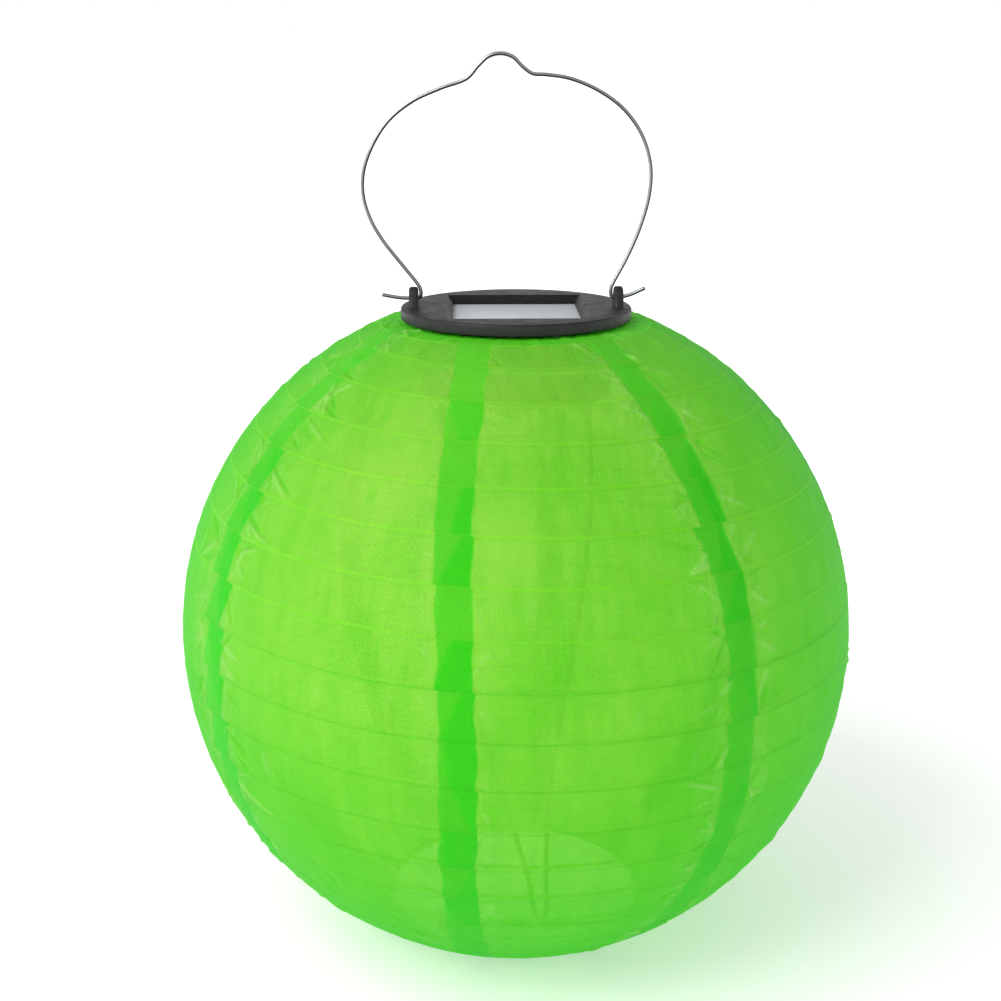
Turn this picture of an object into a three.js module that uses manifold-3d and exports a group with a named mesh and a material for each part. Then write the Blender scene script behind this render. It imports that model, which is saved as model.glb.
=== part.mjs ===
// Solar fabric lantern: a round green globe of eight sewn gores on a spiral wire rib, kept open by
// a wire spreader, under a black head with a solar panel, a battery, a light and a wire bail.
// Millimetres, +Z up, standing on its bottom hoop at z = 0. +X runs along the bail's hinge line.

import * as THREE from 'three';
import { mergeVertices } from 'three/addons/utils/BufferGeometryUtils.js';
import Module from 'manifold-3d';

// ---------------------------------------------------------------- driving dimensions

const GLOBE_RADIUS = 125; // outside of the fabric
const GLOBE_CENTRE_Z = 116;
const FABRIC = 0.8; // thickness of the fabric solids
const GAP = 0.3; // clearance between neighbouring solids

const GORE_COUNT = 8;
const GORE_ANGLE = 360 / GORE_COUNT;
const COLUMNS_PER_GORE = 3;
const COLUMN_ANGLE = GORE_ANGLE / COLUMNS_PER_GORE;
const FIRST_SEAM_AZIMUTH = -10.05; // azimuth 0 faces -Y, and grows towards +X
const SEAM_WIDTH = 11;
const SEAM_THICKNESS = 0.5;

const RIB_PITCH = 7.37; // degrees of latitude for each turn of the spiral rib
const RIB_LATITUDE_AT_SEAM = 61.58; // where the rib crosses the first seam
const RIB_FIRST_GORE = -4; // the rib starts and ends at a seam, counted in gores from the first
const RIB_LAST_GORE = 136;
const RIB_WIRE_RADIUS = 0.6;

const HOOP_SECTION = 3; // height and width of a hoop's eight-sided section
const BOTTOM_HOOP_RADIUS = 50;
const TOP_HOOP_RADIUS = 38.5;
const TOP_HOOP_Z = 230.4;
const HEM_LATITUDE = 66.9; // the globe ends here, and the collar of fabric runs in to the top hoop

const CAP_RADIUS = 41.74;
const CAP_TOP_Z = GLOBE_CENTRE_Z + 120.7;
const CAP_PLATE = 2.4;
const CAP_SIDE_WALL = 4.1;
const CAP_RIM_INNER_RADIUS = 39.9;

const EAR_X = 37;
const EAR_THICKNESS = 3.4;
const EAR_WIDTH = 11;
const EAR_HEIGHT = 7;
const EAR_HOLE_RADIUS = 1.1;
const HINGE_HEIGHT = 2.9; // of the ear holes above the cap's top face
const BAIL_WIRE_RADIUS = 0.68;

const RECESS_WIDTH = 46;
const RECESS_LENGTH = 52;
const RECESS_DEPTH = 3.6;
const RECESS_CHAMFER = 2;
const PANEL_WIDTH = 48.6;
const PANEL_LENGTH = 54.6;

const HOUSING_TOP_Z = 230.8;
const HOUSING_FLOOR_Z = 205.5; // underside of the floor
const HOUSING_TOP_RADIUS = 36.5;
const HOUSING_BOTTOM_RADIUS = 34.5;
const HOUSING_WALL = 1.8;
const HOUSING_INSIDE_Z = HOUSING_FLOOR_Z + HOUSING_WALL;
const SCREW_X = 29;
const SCREW_Y = 9;
const BOSS_SPLIT_Z = 224; // where the housing's bosses meet the cap's

const BOARD_Z = 222.5; // underside of the circuit board
const BOARD_THICKNESS = 1.2;
const PILOT_RADIUS = 1.2; // of the holes that the screws stand in

const BATTERY_Y = -15;
const BATTERY_Z = 213.2;
const BATTERY_RADIUS = 5.25;
const BATTERY_LENGTH = 44.5;
const HATCH_LENGTH = 46; // the battery goes in through this hatch in the housing's floor
const HATCH_WIDTH = 12.4;
const DOOR_PLATE = 1.4;
const DOOR_SCREW_Y = -5;
const LIGHT_Y = 7;
const LENS_RADIUS = 7.5;
const SWITCH_X = 18;
const SWITCH_Y = 9;
const SWITCH_TRAVEL = 2.4;
const SWITCH_SLOT_LENGTH = SWITCH_TRAVEL + 3.2;
const SWITCH_SLOT_WIDTH = 2.8;
const LUG_X = 27;
const LUG_HOLE_Z = HOUSING_FLOOR_Z - 2.5;

const SPREADER_WIRE_RADIUS = 1;
const CROSS_WIRE_RADIUS = 0.8;
const CROSS_WIRE_Y = -30;

// ---------------------------------------------------------------- materials

const finish = (color, roughness, metalness = 0) =>
  new THREE.MeshStandardMaterial({ color, roughness, metalness });

const MATERIALS = {
  fabric: finish(0x74d33c, 0.6),
  seam: finish(0x52d52a, 0.6),
  hem: finish(0x5fcf33, 0.6),
  wire: finish(0xb9bdbe, 0.3, 1),
  rib: finish(0x9aa09a, 0.4, 1),
  cap: finish(0x2f3031, 0.6),
  housing: finish(0x2a2b2c, 0.6),
  glaze: finish(0xc4cbd2, 0.1),
  cell: finish(0x2b3346, 0.25),
  board: finish(0x1f5a34, 0.5),
  foam: finish(0x1c1c1c, 0.95),
  battery: finish(0x3f6fa8, 0.35),
  contact: finish(0xc8c9c6, 0.25, 1),
  chip: finish(0x18181a, 0.5),
  coil: finish(0x2c6e49, 0.4),
  led: finish(0xf3f2e2, 0.15),
  lens: finish(0xeef1f0, 0.4),
  switch: finish(0xb8babb, 0.35, 1),
  redLead: finish(0xb3211d, 0.5),
  blackLead: finish(0x17171a, 0.5),
};

// ---------------------------------------------------------------- geometry helpers

const wasm = await Module();
wasm.setup();

function solid(geometry) {
  const bare = geometry.clone();
  bare.deleteAttribute('normal');
  bare.deleteAttribute('uv');
  const merged = mergeVertices(bare, 1e-4);
  return new wasm.Manifold(new wasm.Mesh({
    numProp: 3,
    vertProperties: merged.attributes.position.array,
    triVerts: new Uint32Array(merged.index.array),
  }));
}

function geometryOf(manifold) {
  const mesh = manifold.getMesh();
  const geometry = new THREE.BufferGeometry();
  geometry.setAttribute('position', new THREE.BufferAttribute(mesh.vertProperties, 3));
  geometry.setIndex(new THREE.BufferAttribute(mesh.triVerts, 1));
  geometry.computeVertexNormals();
  return geometry;
}

// Joins the geometries in `added`, then cuts those in `removed` out of them.
function combine(added, removed = []) {
  let result = solid(added[0]);
  for (const piece of added.slice(1)) result = result.add(solid(piece));
  for (const piece of removed) result = result.subtract(solid(piece));
  return geometryOf(result);
}

// A box centred on (x, y), from z0 up to z1.
function block(width, depth, z0, z1, x = 0, y = 0) {
  return new THREE.BoxGeometry(width, depth, z1 - z0).translate(x, y, (z0 + z1) / 2);
}

// An upright cylinder from z0 up to z1.
function post(radius, z0, z1, x = 0, y = 0, sides = 12) {
  const cylinder = new THREE.CylinderGeometry(radius, radius, z1 - z0, sides);
  return cylinder.rotateX(Math.PI / 2).translate(x, y, (z0 + z1) / 2);
}

// A profile of [radius, z] points turned round the Z axis.
function turned(profile, segments = 48) {
  const points = profile.map(([radius, z]) => new THREE.Vector2(radius, z));
  return new THREE.LatheGeometry(points, segments).rotateX(Math.PI / 2);
}

// A wire along a smooth curve through the points.
function wire(points, radius, steps, sides = 8) {
  const path = new THREE.CatmullRomCurve3(
    points.map((p) => new THREE.Vector3(...p)),
    false,
    'centripetal',
  );
  const section = new THREE.Shape();
  for (let i = 0; i < sides; i++) {
    const angle = (i / sides) * 2 * Math.PI;
    const [x, y] = [radius * Math.cos(angle), radius * Math.sin(angle)];
    if (i === 0) section.moveTo(x, y);
    else section.lineTo(x, y);
  }
  section.closePath();
  return new THREE.ExtrudeGeometry(section, { extrudePath: path, steps, bevelEnabled: false });
}

// A closed solid through a row of sections. Each section is a loop of an even number of points:
// its first half runs along one side, its second half runs back along the other.
function loft(sections) {
  const size = sections[0].length;
  const positions = sections.flat().flatMap((p) => [p.x, p.y, p.z]);
  const index = [];
  const quad = (a, b, c, d) => index.push(a, b, c, a, c, d);
  for (let s = 0; s + 1 < sections.length; s++) {
    for (let i = 0; i < size; i++) {
      const next = (i + 1) % size;
      quad(s * size + i, (s + 1) * size + i, (s + 1) * size + next, s * size + next);
    }
  }
  const last = (sections.length - 1) * size;
  for (let i = 0; i + 1 < size / 2; i++) {
    quad(i, i + 1, size - 2 - i, size - 1 - i);
    quad(last + size - 1 - i, last + size - 2 - i, last + i + 1, last + i);
  }
  const geometry = new THREE.BufferGeometry();
  geometry.setAttribute('position', new THREE.Float32BufferAttribute(positions, 3));
  geometry.setIndex(index);
  geometry.computeVertexNormals();
  return geometry;
}

// ---------------------------------------------------------------- the object's tree

const lantern = new THREE.Group();

function place(group, name, geometry, material) {
  const mesh = new THREE.Mesh(geometry, material);
  mesh.name = name;
  group.add(mesh);
}

// ---------------------------------------------------------------- shade: fabric, seams, rib

const radians = THREE.MathUtils.degToRad;
const seamAzimuth = (gore) => FIRST_SEAM_AZIMUTH + GORE_ANGLE * gore;
const ribLatitude = (gore) => RIB_LATITUDE_AT_SEAM - (RIB_PITCH / GORE_COUNT) * gore;

// A point at an azimuth in degrees, a distance from the Z axis and a height.
function polar(azimuth, radius, z) {
  const angle = radians(azimuth);
  return new THREE.Vector3(radius * Math.sin(angle), -radius * Math.cos(angle), z);
}

// Distance from the axis and height of the globe at a latitude, `inset` under its outside.
function globePoint(latitude, inset) {
  const radius = GLOBE_RADIUS - inset;
  return [
    radius * Math.cos(radians(latitude)),
    GLOBE_CENTRE_Z + radius * Math.sin(radians(latitude)),
  ];
}

const HOOP_CLEARANCE = HOOP_SECTION / 2 + 0.5;
const TOP_EDGE_RADIUS = TOP_HOOP_RADIUS + HOOP_CLEARANCE;
const BOTTOM_EDGE_RADIUS = BOTTOM_HOOP_RADIUS + HOOP_CLEARANCE + FABRIC;
const BOTTOM_LATITUDE = -THREE.MathUtils.radToDeg(Math.acos(BOTTOM_EDGE_RADIUS / GLOBE_RADIUS));

// The fabric is straight between rib turns, so its rows are the turns that cross the whole gore.
// Each row gives [radius, z] at `along`, from 0 at the gore's first seam to 1 at its second.
function goreRows(gore) {
  const rows = [];
  rows.push((along, inset) => [TOP_EDGE_RADIUS, CAP_TOP_Z - 5.4 - inset]);
  rows.push((along, inset) => globePoint(HEM_LATITUDE, inset));
  for (let crossing = gore; crossing < RIB_LAST_GORE; crossing += GORE_COUNT) {
    rows.push((along, inset) => globePoint(ribLatitude(crossing + along), inset));
  }
  const early = gore - GORE_COUNT;
  if (early >= RIB_FIRST_GORE) {
    rows.splice(2, 0, (along, inset) => globePoint(ribLatitude(early + along), inset));
  }
  rows.push((along, inset) => globePoint(BOTTOM_LATITUDE, inset));
  return rows;
}

function goreGeometry(gore) {
  const sections = goreRows(gore).map((row) => {
    const side = (inset) => {
      const points = [];
      for (let column = 0; column <= COLUMNS_PER_GORE; column++) {
        const along = column / COLUMNS_PER_GORE;
        const [radius, z] = row(along, inset);
        const margin = THREE.MathUtils.radToDeg(GAP / 2 / radius);
        const azimuth = seamAzimuth(gore) + margin + along * (GORE_ANGLE - 2 * margin);
        points.push(polar(azimuth, radius, z));
      }
      return points;
    };
    return [...side(0), ...side(FABRIC).reverse()];
  });
  return loft(sections);
}

// A seam band lies inside the fabric, on both gores next to its seam, so it bends at the seam.
function seamGeometry(gore) {
  const outside = FABRIC + GAP;
  const sections = goreRows(gore).slice(1).map((row) => {
    const side = (inset) => {
      const [radius, z] = row(0, inset);
      const half = THREE.MathUtils.radToDeg(SEAM_WIDTH / 2 / radius);
      const chordRadius = (radius * Math.cos(radians(COLUMN_ANGLE / 2)))
        / Math.cos(radians(COLUMN_ANGLE / 2 - half));
      return [-half, 0, half].map((offset) => (
        polar(seamAzimuth(gore) + offset, offset === 0 ? radius : chordRadius, z)));
    };
    return [...side(outside), ...side(outside + SEAM_THICKNESS).reverse()];
  });
  return loft(sections);
}

function ribGeometry() {
  const inset = FABRIC + SEAM_THICKNESS + 2 * GAP + RIB_WIRE_RADIUS;
  const sections = [];
  const columns = (RIB_LAST_GORE - RIB_FIRST_GORE) * COLUMNS_PER_GORE;
  for (let column = 0; column <= columns; column++) {
    const gore = RIB_FIRST_GORE + column / COLUMNS_PER_GORE;
    const latitude = ribLatitude(gore);
    const section = [[-1, -1], [-1, 1], [1, 1], [1, -1]].map(([up, out]) => {
      const half = RIB_WIRE_RADIUS * Math.SQRT1_2;
      const tilt = THREE.MathUtils.radToDeg((up * half) / GLOBE_RADIUS);
      const [radius, z] = globePoint(latitude + tilt, inset - out * half);
      return polar(seamAzimuth(gore), radius, z);
    });
    sections.push(section);
  }
  return loft(sections);
}

// A hoop with an eight-sided section that is flat underneath.
function hoopGeometry(radius, z) {
  const corner = HOOP_SECTION / 2 / Math.cos(Math.PI / 8);
  const profile = [];
  for (let i = 0; i <= 8; i++) {
    const angle = Math.PI / 8 + (i * Math.PI) / 4;
    profile.push([radius + corner * Math.cos(angle), z + corner * Math.sin(angle)]);
  }
  return turned(profile, 36);
}

const shade = new THREE.Group();
for (let gore = 0; gore < GORE_COUNT; gore++) {
  place(shade, `shade_gore_${gore + 1}`, goreGeometry(gore), MATERIALS.fabric);
  place(shade, `seam_band_${gore + 1}`, seamGeometry(gore), MATERIALS.seam);
}
place(shade, 'spiral_rib', ribGeometry(), MATERIALS.rib);
place(shade, 'top_hoop', hoopGeometry(TOP_HOOP_RADIUS, TOP_HOOP_Z), MATERIALS.hem);
place(shade, 'bottom_hoop', hoopGeometry(BOTTOM_HOOP_RADIUS, HOOP_SECTION / 2), MATERIALS.hem);

const hoopInside = BOTTOM_HOOP_RADIUS - HOOP_SECTION / 2 - 2 * GAP;
const crossHalf = Math.sqrt(hoopInside ** 2 - CROSS_WIRE_Y ** 2) - CROSS_WIRE_RADIUS;
const crossZ = HOOP_SECTION / 2 + 0.3;
place(shade, 'cross_wire', wire(
  [[-crossHalf, CROSS_WIRE_Y, crossZ], [0, CROSS_WIRE_Y, crossZ], [crossHalf, CROSS_WIRE_Y, crossZ]],
  CROSS_WIRE_RADIUS,
  4,
), MATERIALS.wire);
lantern.add(shade);

// ---------------------------------------------------------------- head: cap and panel

function earGeometry(x) {
  const round = EAR_HEIGHT / 2;
  const outline = new THREE.Shape();
  outline.moveTo(-EAR_WIDTH / 2, -CAP_PLATE / 2);
  outline.lineTo(EAR_WIDTH / 2, -CAP_PLATE / 2);
  outline.lineTo(EAR_WIDTH / 2, 0);
  outline.lineTo(round, EAR_HEIGHT - round);
  outline.absarc(0, EAR_HEIGHT - round, round, 0, Math.PI, false);
  outline.lineTo(-EAR_WIDTH / 2, 0);
  outline.closePath();
  const plate = new THREE.ExtrudeGeometry(outline, {
    depth: EAR_THICKNESS, bevelEnabled: false, curveSegments: 10,
  });
  plate.rotateX(Math.PI / 2).rotateZ(Math.PI / 2);
  return plate.translate(x - EAR_THICKNESS / 2, 0, CAP_TOP_Z);
}

// A four-sided prism that widens from the rectangle at z0 to the one at z1: [x0, x1, y0, y1].
function flare(low, z0, high, z1) {
  const ring = ([x0, x1, y0, y1], z) => [
    new THREE.Vector3(x0, y0, z), new THREE.Vector3(x1, y0, z),
    new THREE.Vector3(x1, y1, z), new THREE.Vector3(x0, y1, z),
  ];
  return loft([ring(high, z1), ring(low, z0)]);
}

function capGeometry() {
  const plateBottom = CAP_TOP_Z - CAP_PLATE;
  const rimBottom = CAP_TOP_Z - CAP_SIDE_WALL;
  const edge = 0.6;
  const disc = turned([
    [0, plateBottom], [CAP_RIM_INNER_RADIUS, plateBottom], [CAP_RIM_INNER_RADIUS, rimBottom],
    [CAP_RADIUS, rimBottom], [CAP_RADIUS, CAP_TOP_Z - edge], [CAP_RADIUS - edge, CAP_TOP_Z],
    [0, CAP_TOP_Z],
  ], 64);
  const added = [disc];
  const removed = [];

  const frameBottom = CAP_TOP_Z - 4.5;
  const ledgeZ = CAP_TOP_Z - RECESS_DEPTH + GAP;
  const pocket = 2 * GAP;
  const frameWall = 3.6;
  added.push(block(PANEL_WIDTH + frameWall, PANEL_LENGTH + frameWall, frameBottom, plateBottom + 1));
  removed.push(block(PANEL_WIDTH + pocket, PANEL_LENGTH + pocket, frameBottom - 1, ledgeZ));
  removed.push(block(RECESS_WIDTH, RECESS_LENGTH, frameBottom, CAP_TOP_Z + 1));
  const [halfX, halfY] = [RECESS_WIDTH / 2, RECESS_LENGTH / 2];
  const low = [-halfX, halfX, -halfY, halfY];
  const over = 0.5;
  const grow = RECESS_CHAMFER + over;
  const high = [-halfX - grow, halfX + grow, -halfY - grow, halfY];
  removed.push(flare(low, CAP_TOP_Z - RECESS_CHAMFER, high, CAP_TOP_Z + over));

  for (const x of [-EAR_X, EAR_X]) {
    added.push(earGeometry(x));
    const hole = new THREE.CylinderGeometry(EAR_HOLE_RADIUS, EAR_HOLE_RADIUS, 3 * EAR_THICKNESS, 12);
    removed.push(hole.rotateZ(Math.PI / 2).translate(x, 0, CAP_TOP_Z + HINGE_HEIGHT));
  }
  for (const x of [-SCREW_X, SCREW_X]) {
    for (const y of [-SCREW_Y, SCREW_Y]) {
      added.push(post(3, BOSS_SPLIT_Z + GAP, plateBottom + 1, x, y));
      removed.push(post(PILOT_RADIUS, BOSS_SPLIT_Z, BOSS_SPLIT_Z + 7, x, y));
    }
  }
  const tabCount = 6;
  for (let tab = 0; tab < tabCount; tab++) {
    const finger = block(4, 1, rimBottom - 1, plateBottom + 0.5).translate(0, -40.9, 0);
    added.push(finger.rotateZ(((tab + 0.3) / tabCount) * 2 * Math.PI));
  }
  return combine(added, removed);
}

const head = new THREE.Group();
place(head, 'cap_cover', capGeometry(), MATERIALS.cap);

const panelTop = CAP_TOP_Z - RECESS_DEPTH;
const glazeThickness = 0.5;
const cellTop = panelTop - glazeThickness - 0.05;
const cellBottom = cellTop - 0.3;
const boardTop = cellBottom - 0.05;
const boardBottom = boardTop - 1;
const glaze = block(PANEL_WIDTH, PANEL_LENGTH, panelTop - glazeThickness, panelTop);
place(head, 'solar_glaze', glaze, MATERIALS.glaze);
const cellCount = 4;
const cellPitch = (PANEL_WIDTH - 4) / cellCount;
for (let cell = 0; cell < cellCount; cell++) {
  const x = (cell - (cellCount - 1) / 2) * cellPitch;
  const strip = block(cellPitch - 0.8, PANEL_LENGTH - 5, cellBottom, cellTop, x);
  place(head, `solar_cell_${cell + 1}`, strip, MATERIALS.cell);
}
place(head, 'solar_board', block(PANEL_WIDTH, PANEL_LENGTH, boardBottom, boardTop), MATERIALS.board);
const gasketTop = boardBottom - GAP;
place(head, 'panel_gasket', combine(
  [block(44, 50, gasketTop - 1.2, gasketTop)],
  [block(38, 44, gasketTop - 2, gasketTop + 1)],
), MATERIALS.foam);

// ---------------------------------------------------------------- head: housing

function housingGeometry() {
  const [top, bottom] = [HOUSING_TOP_RADIUS, HOUSING_BOTTOM_RADIUS];
  const shell = turned([
    [0, HOUSING_FLOOR_Z], [bottom, HOUSING_FLOOR_Z], [top, HOUSING_TOP_Z],
    [top - HOUSING_WALL, HOUSING_TOP_Z], [bottom - HOUSING_WALL, HOUSING_INSIDE_Z], [0, HOUSING_INSIDE_Z],
  ], 40);
  const sunk = HOUSING_INSIDE_Z - 0.5;
  const added = [shell];
  const removed = [];
  for (const x of [-SCREW_X, SCREW_X]) {
    for (const y of [-SCREW_Y, SCREW_Y]) {
      added.push(post(3.6, sunk, BOSS_SPLIT_Z, x, y));
      removed.push(post(2.4, HOUSING_FLOOR_Z - 1, BOSS_SPLIT_Z - 2.5, x, y));
      removed.push(post(PILOT_RADIUS, BOSS_SPLIT_Z - 3, BOSS_SPLIT_Z + 1, x, y));
    }
  }
  const boardPosts = [-13, 13];
  for (const x of boardPosts) added.push(post(2, sunk, BOARD_Z - GAP, x, 23));
  added.push(block(1.2, 9, sunk, BATTERY_Z + 5, 24.6, BATTERY_Y));
  added.push(block(1.2, 9, sunk, BATTERY_Z + 5, -26, BATTERY_Y));
  added.push(post(2.4, sunk, HOUSING_INSIDE_Z + 4.2, 0, DOOR_SCREW_Y));
  removed.push(post(PILOT_RADIUS, HOUSING_FLOOR_Z - 1, HOUSING_INSIDE_Z + 3.4, 0, DOOR_SCREW_Y));
  removed.push(block(HATCH_LENGTH, HATCH_WIDTH, HOUSING_FLOOR_Z - 1, HOUSING_INSIDE_Z + 1, 0, BATTERY_Y));
  removed.push(post(3.3, HOUSING_FLOOR_Z - 1, HOUSING_INSIDE_Z + 1, 0, LIGHT_Y));
  removed.push(block(
    SWITCH_SLOT_LENGTH, SWITCH_SLOT_WIDTH, HOUSING_FLOOR_Z - 1, HOUSING_INSIDE_Z + 1, SWITCH_X, SWITCH_Y,
  ));
  for (const x of [-LUG_X, LUG_X]) {
    added.push(block(5, 4, HOUSING_FLOOR_Z - 5, HOUSING_FLOOR_Z + 0.5, x, 0));
    const hole = new THREE.CylinderGeometry(1.4, 1.4, 8, 12).translate(x, 0, LUG_HOLE_Z);
    removed.push(hole);
  }
  return combine(added, removed);
}

place(head, 'battery_housing', housingGeometry(), MATERIALS.housing);

// A screw seen from below: its head first, then its shank going up.
function screwGeometry(headRadius, shankRadius, headBottom, headHeight, length, x, y) {
  const shankTop = headBottom + headHeight + length;
  const slot = [1.4 * headRadius, 0.5]; // length and width of each arm of the cross
  const slotTop = headBottom + 0.6;
  return combine([
    post(headRadius, headBottom, headBottom + headHeight, x, y),
    post(shankRadius, headBottom + headHeight - 0.2, shankTop, x, y),
  ], [
    block(slot[0], slot[1], headBottom - 1, slotTop, x, y),
    block(slot[1], slot[0], headBottom - 1, slotTop, x, y),
  ]);
}

let screwNumber = 0;
for (const x of [-SCREW_X, SCREW_X]) {
  for (const y of [-SCREW_Y, SCREW_Y]) {
    screwNumber += 1;
    const screw = screwGeometry(2.05, 0.9, BOSS_SPLIT_Z - 2.5 - GAP - 1.4, 1.4, 8, x, y);
    place(head, `housing_screw_${screwNumber}`, screw, MATERIALS.wire);
  }
}

// ---------------------------------------------------------------- head: battery

function batteryGeometry() {
  const [half, nub] = [BATTERY_LENGTH / 2, 1];
  const cell = turned([
    [0, -half], [BATTERY_RADIUS - 0.4, -half], [BATTERY_RADIUS, -half + 0.4],
    [BATTERY_RADIUS, half - nub - 0.4], [BATTERY_RADIUS - 0.4, half - nub],
    [1.9, half - nub], [1.9, half], [0, half],
  ], 18);
  return cell.rotateY(Math.PI / 2).translate(-0.3, BATTERY_Y, BATTERY_Z);
}

function springGeometry() {
  const turns = 2.5;
  const points = [];
  const pointsPerTurn = 8;
  const [start, end] = [-25, -23.2];
  for (let i = 0; i <= turns * pointsPerTurn; i++) {
    const along = i / (turns * pointsPerTurn);
    const angle = along * turns * 2 * Math.PI;
    const radius = 3.8 - 1.2 * along;
    points.push([
      start + (end - start) * along,
      BATTERY_Y + radius * Math.cos(angle),
      BATTERY_Z + radius * Math.sin(angle),
    ]);
  }
  return wire(points, 0.25, 36, 5);
}

place(head, 'battery', batteryGeometry(), MATERIALS.battery);
place(head, 'battery_spring', springGeometry(), MATERIALS.contact);
const contactX = 23.4;
const contact = block(0.4, 8, BATTERY_Z - 4, BATTERY_Z + 7.5).translate(contactX, BATTERY_Y, 0);
place(head, 'battery_contact', contact, MATERIALS.contact);

// ---------------------------------------------------------------- head: circuit, light and wiring

const boardTopZ = BOARD_Z + BOARD_THICKNESS;
place(head, 'circuit_board', block(32, 21, BOARD_Z, boardTopZ, 0, 14.5), MATERIALS.board);
place(head, 'controller_chip', block(5, 4, boardTopZ + GAP, boardTopZ + 1.8, -7, 13), MATERIALS.chip);
place(head, 'inductor', post(2.6, boardTopZ + GAP, boardTopZ + 4.6, 6, 11, 20), MATERIALS.coil);

function ledGeometry() {
  const [dome, flange, flangeTop] = [2.5, 2.9, HOUSING_INSIDE_Z + 1.2];
  const tip = HOUSING_FLOOR_Z - 5;
  const profile = [[0, tip]];
  const arcSteps = 5;
  for (let i = 1; i <= arcSteps; i++) {
    const angle = (i / arcSteps) * (Math.PI / 2);
    profile.push([dome * Math.sin(angle), tip + dome * (1 - Math.cos(angle))]);
  }
  profile.push([dome, flangeTop - 1], [flange, flangeTop - 1], [flange, flangeTop], [0, flangeTop]);
  return turned(profile, 18).translate(0, LIGHT_Y, 0);
}

function lensGeometry() {
  const [wall, depth, top] = [1.2, 12, HOUSING_FLOOR_Z - GAP];
  const profile = [];
  const arcSteps = 5;
  const arc = (radius, order) => {
    for (const i of order) {
      const angle = (i / arcSteps) * (Math.PI / 2);
      profile.push([radius * Math.sin(angle), top - depth + LENS_RADIUS - radius * Math.cos(angle)]);
    }
  };
  const steps = [...Array(arcSteps + 1).keys()];
  arc(LENS_RADIUS, steps);
  profile.push([LENS_RADIUS, top], [LENS_RADIUS - wall, top]);
  arc(LENS_RADIUS - wall, steps.reverse());
  return turned(profile, 18).translate(0, LIGHT_Y, 0);
}

place(head, 'led', ledGeometry(), MATERIALS.led);
place(head, 'led_lens', lensGeometry(), MATERIALS.lens);
const leadBottom = HOUSING_INSIDE_Z + 1.2 + GAP;
place(head, 'led_lead_anode', post(0.3, leadBottom, BOARD_Z - GAP, 1.3, LIGHT_Y, 8), MATERIALS.contact);
place(head, 'led_lead_cathode', post(0.3, leadBottom, BOARD_Z - GAP, -1.3, LIGHT_Y, 8), MATERIALS.contact);

const switchTop = HOUSING_INSIDE_Z + 4.8;
const switchBody = combine(
  [block(8.6, 4.6, HOUSING_INSIDE_Z + GAP, switchTop, SWITCH_X, SWITCH_Y)],
  [block(SWITCH_SLOT_LENGTH, SWITCH_SLOT_WIDTH, HOUSING_INSIDE_Z, HOUSING_INSIDE_Z + 2.6, SWITCH_X, SWITCH_Y)],
);
place(head, 'switch_body', switchBody, MATERIALS.switch);
const sliderX = SWITCH_X - SWITCH_TRAVEL / 2;
const slider = block(2.4, 2, HOUSING_FLOOR_Z - 2, HOUSING_INSIDE_Z + 2.2, sliderX, SWITCH_Y);
place(head, 'switch_slider', slider, MATERIALS.housing);

const panelLead = (x) => wire([
  [x, 19, boardTopZ + GAP], [x * 1.2, 19.6, boardTopZ + 3], [x, 19, boardBottom - GAP],
], 0.5, 8, 6);
place(head, 'panel_lead_red', panelLead(4), MATERIALS.redLead);
place(head, 'panel_lead_black', panelLead(-4), MATERIALS.blackLead);
place(head, 'battery_lead_red', wire([
  [contactX, BATTERY_Y + 2, BATTERY_Z + 8.4], [22.5, -8, 224.5], [18, 0, 226], [14, 6, boardTopZ + 0.9],
], 0.5, 12, 6), MATERIALS.redLead);
place(head, 'battery_lead_black', wire([
  [-26, BATTERY_Y + 2, BATTERY_Z + 6.2], [-23.5, -7, 223], [-18.5, 0, 226], [-14, 6, boardTopZ + 0.9],
], 0.5, 12, 6), MATERIALS.blackLead);

// ---------------------------------------------------------------- head: battery door and spreader

// The door's outer plate laps the hatch all round, a plug on it fills the hatch, and a tongue
// reaches in towards the middle for its screw.
const doorTop = HOUSING_FLOOR_Z - GAP;
const doorBottom = doorTop - DOOR_PLATE;
const plugTop = HOUSING_INSIDE_Z - GAP;
const doorGeometry = combine([
  block(HATCH_LENGTH + 3, HATCH_WIDTH + 2.6, doorBottom, doorTop, 0, BATTERY_Y),
  block(HATCH_LENGTH - 0.8, HATCH_WIDTH - 0.8, doorBottom + 0.5, plugTop, 0, BATTERY_Y),
  block(7, 8, doorBottom, doorTop, 0, DOOR_SCREW_Y - 1.4),
], [post(PILOT_RADIUS, doorBottom - 1, doorTop + 1, 0, DOOR_SCREW_Y)]);
place(head, 'battery_door', doorGeometry, MATERIALS.housing);
const doorScrew = screwGeometry(1.8, 0.75, doorBottom - GAP - 1.2, 1.2, 5, 0, DOOR_SCREW_Y);
place(head, 'battery_door_screw', doorScrew, MATERIALS.wire);

// The spreader hangs from the two lugs. Its foot is a narrow loop over the cross wire.
const spreaderRoute = [
  [-LUG_X, -4, LUG_HOLE_Z], [-LUG_X, 2.6, LUG_HOLE_Z], [-LUG_X - 0.4, 4.8, LUG_HOLE_Z - 2],
  [-LUG_X - 0.6, 4.6, LUG_HOLE_Z - 12], [-28, -2, 160], [-24.5, -11, 118], [-8, -23, 62], [4, -28.6, 22],
  [7, -30.5, 7], [9, -33.4, 4.2], [11, -30.5, 7],
  [11, -28.6, 26], [13, -24, 62], [23, -12, 118], [28, -2, 160], [LUG_X + 0.6, 4.6, LUG_HOLE_Z - 12],
  [LUG_X + 0.4, 4.8, LUG_HOLE_Z - 2], [LUG_X, 2.6, LUG_HOLE_Z], [LUG_X, -4, LUG_HOLE_Z],
];
place(head, 'spreader_wire', wire(spreaderRoute, SPREADER_WIRE_RADIUS, 84, 6), MATERIALS.wire);
lantern.add(head);

// ---------------------------------------------------------------- wire bail

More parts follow.
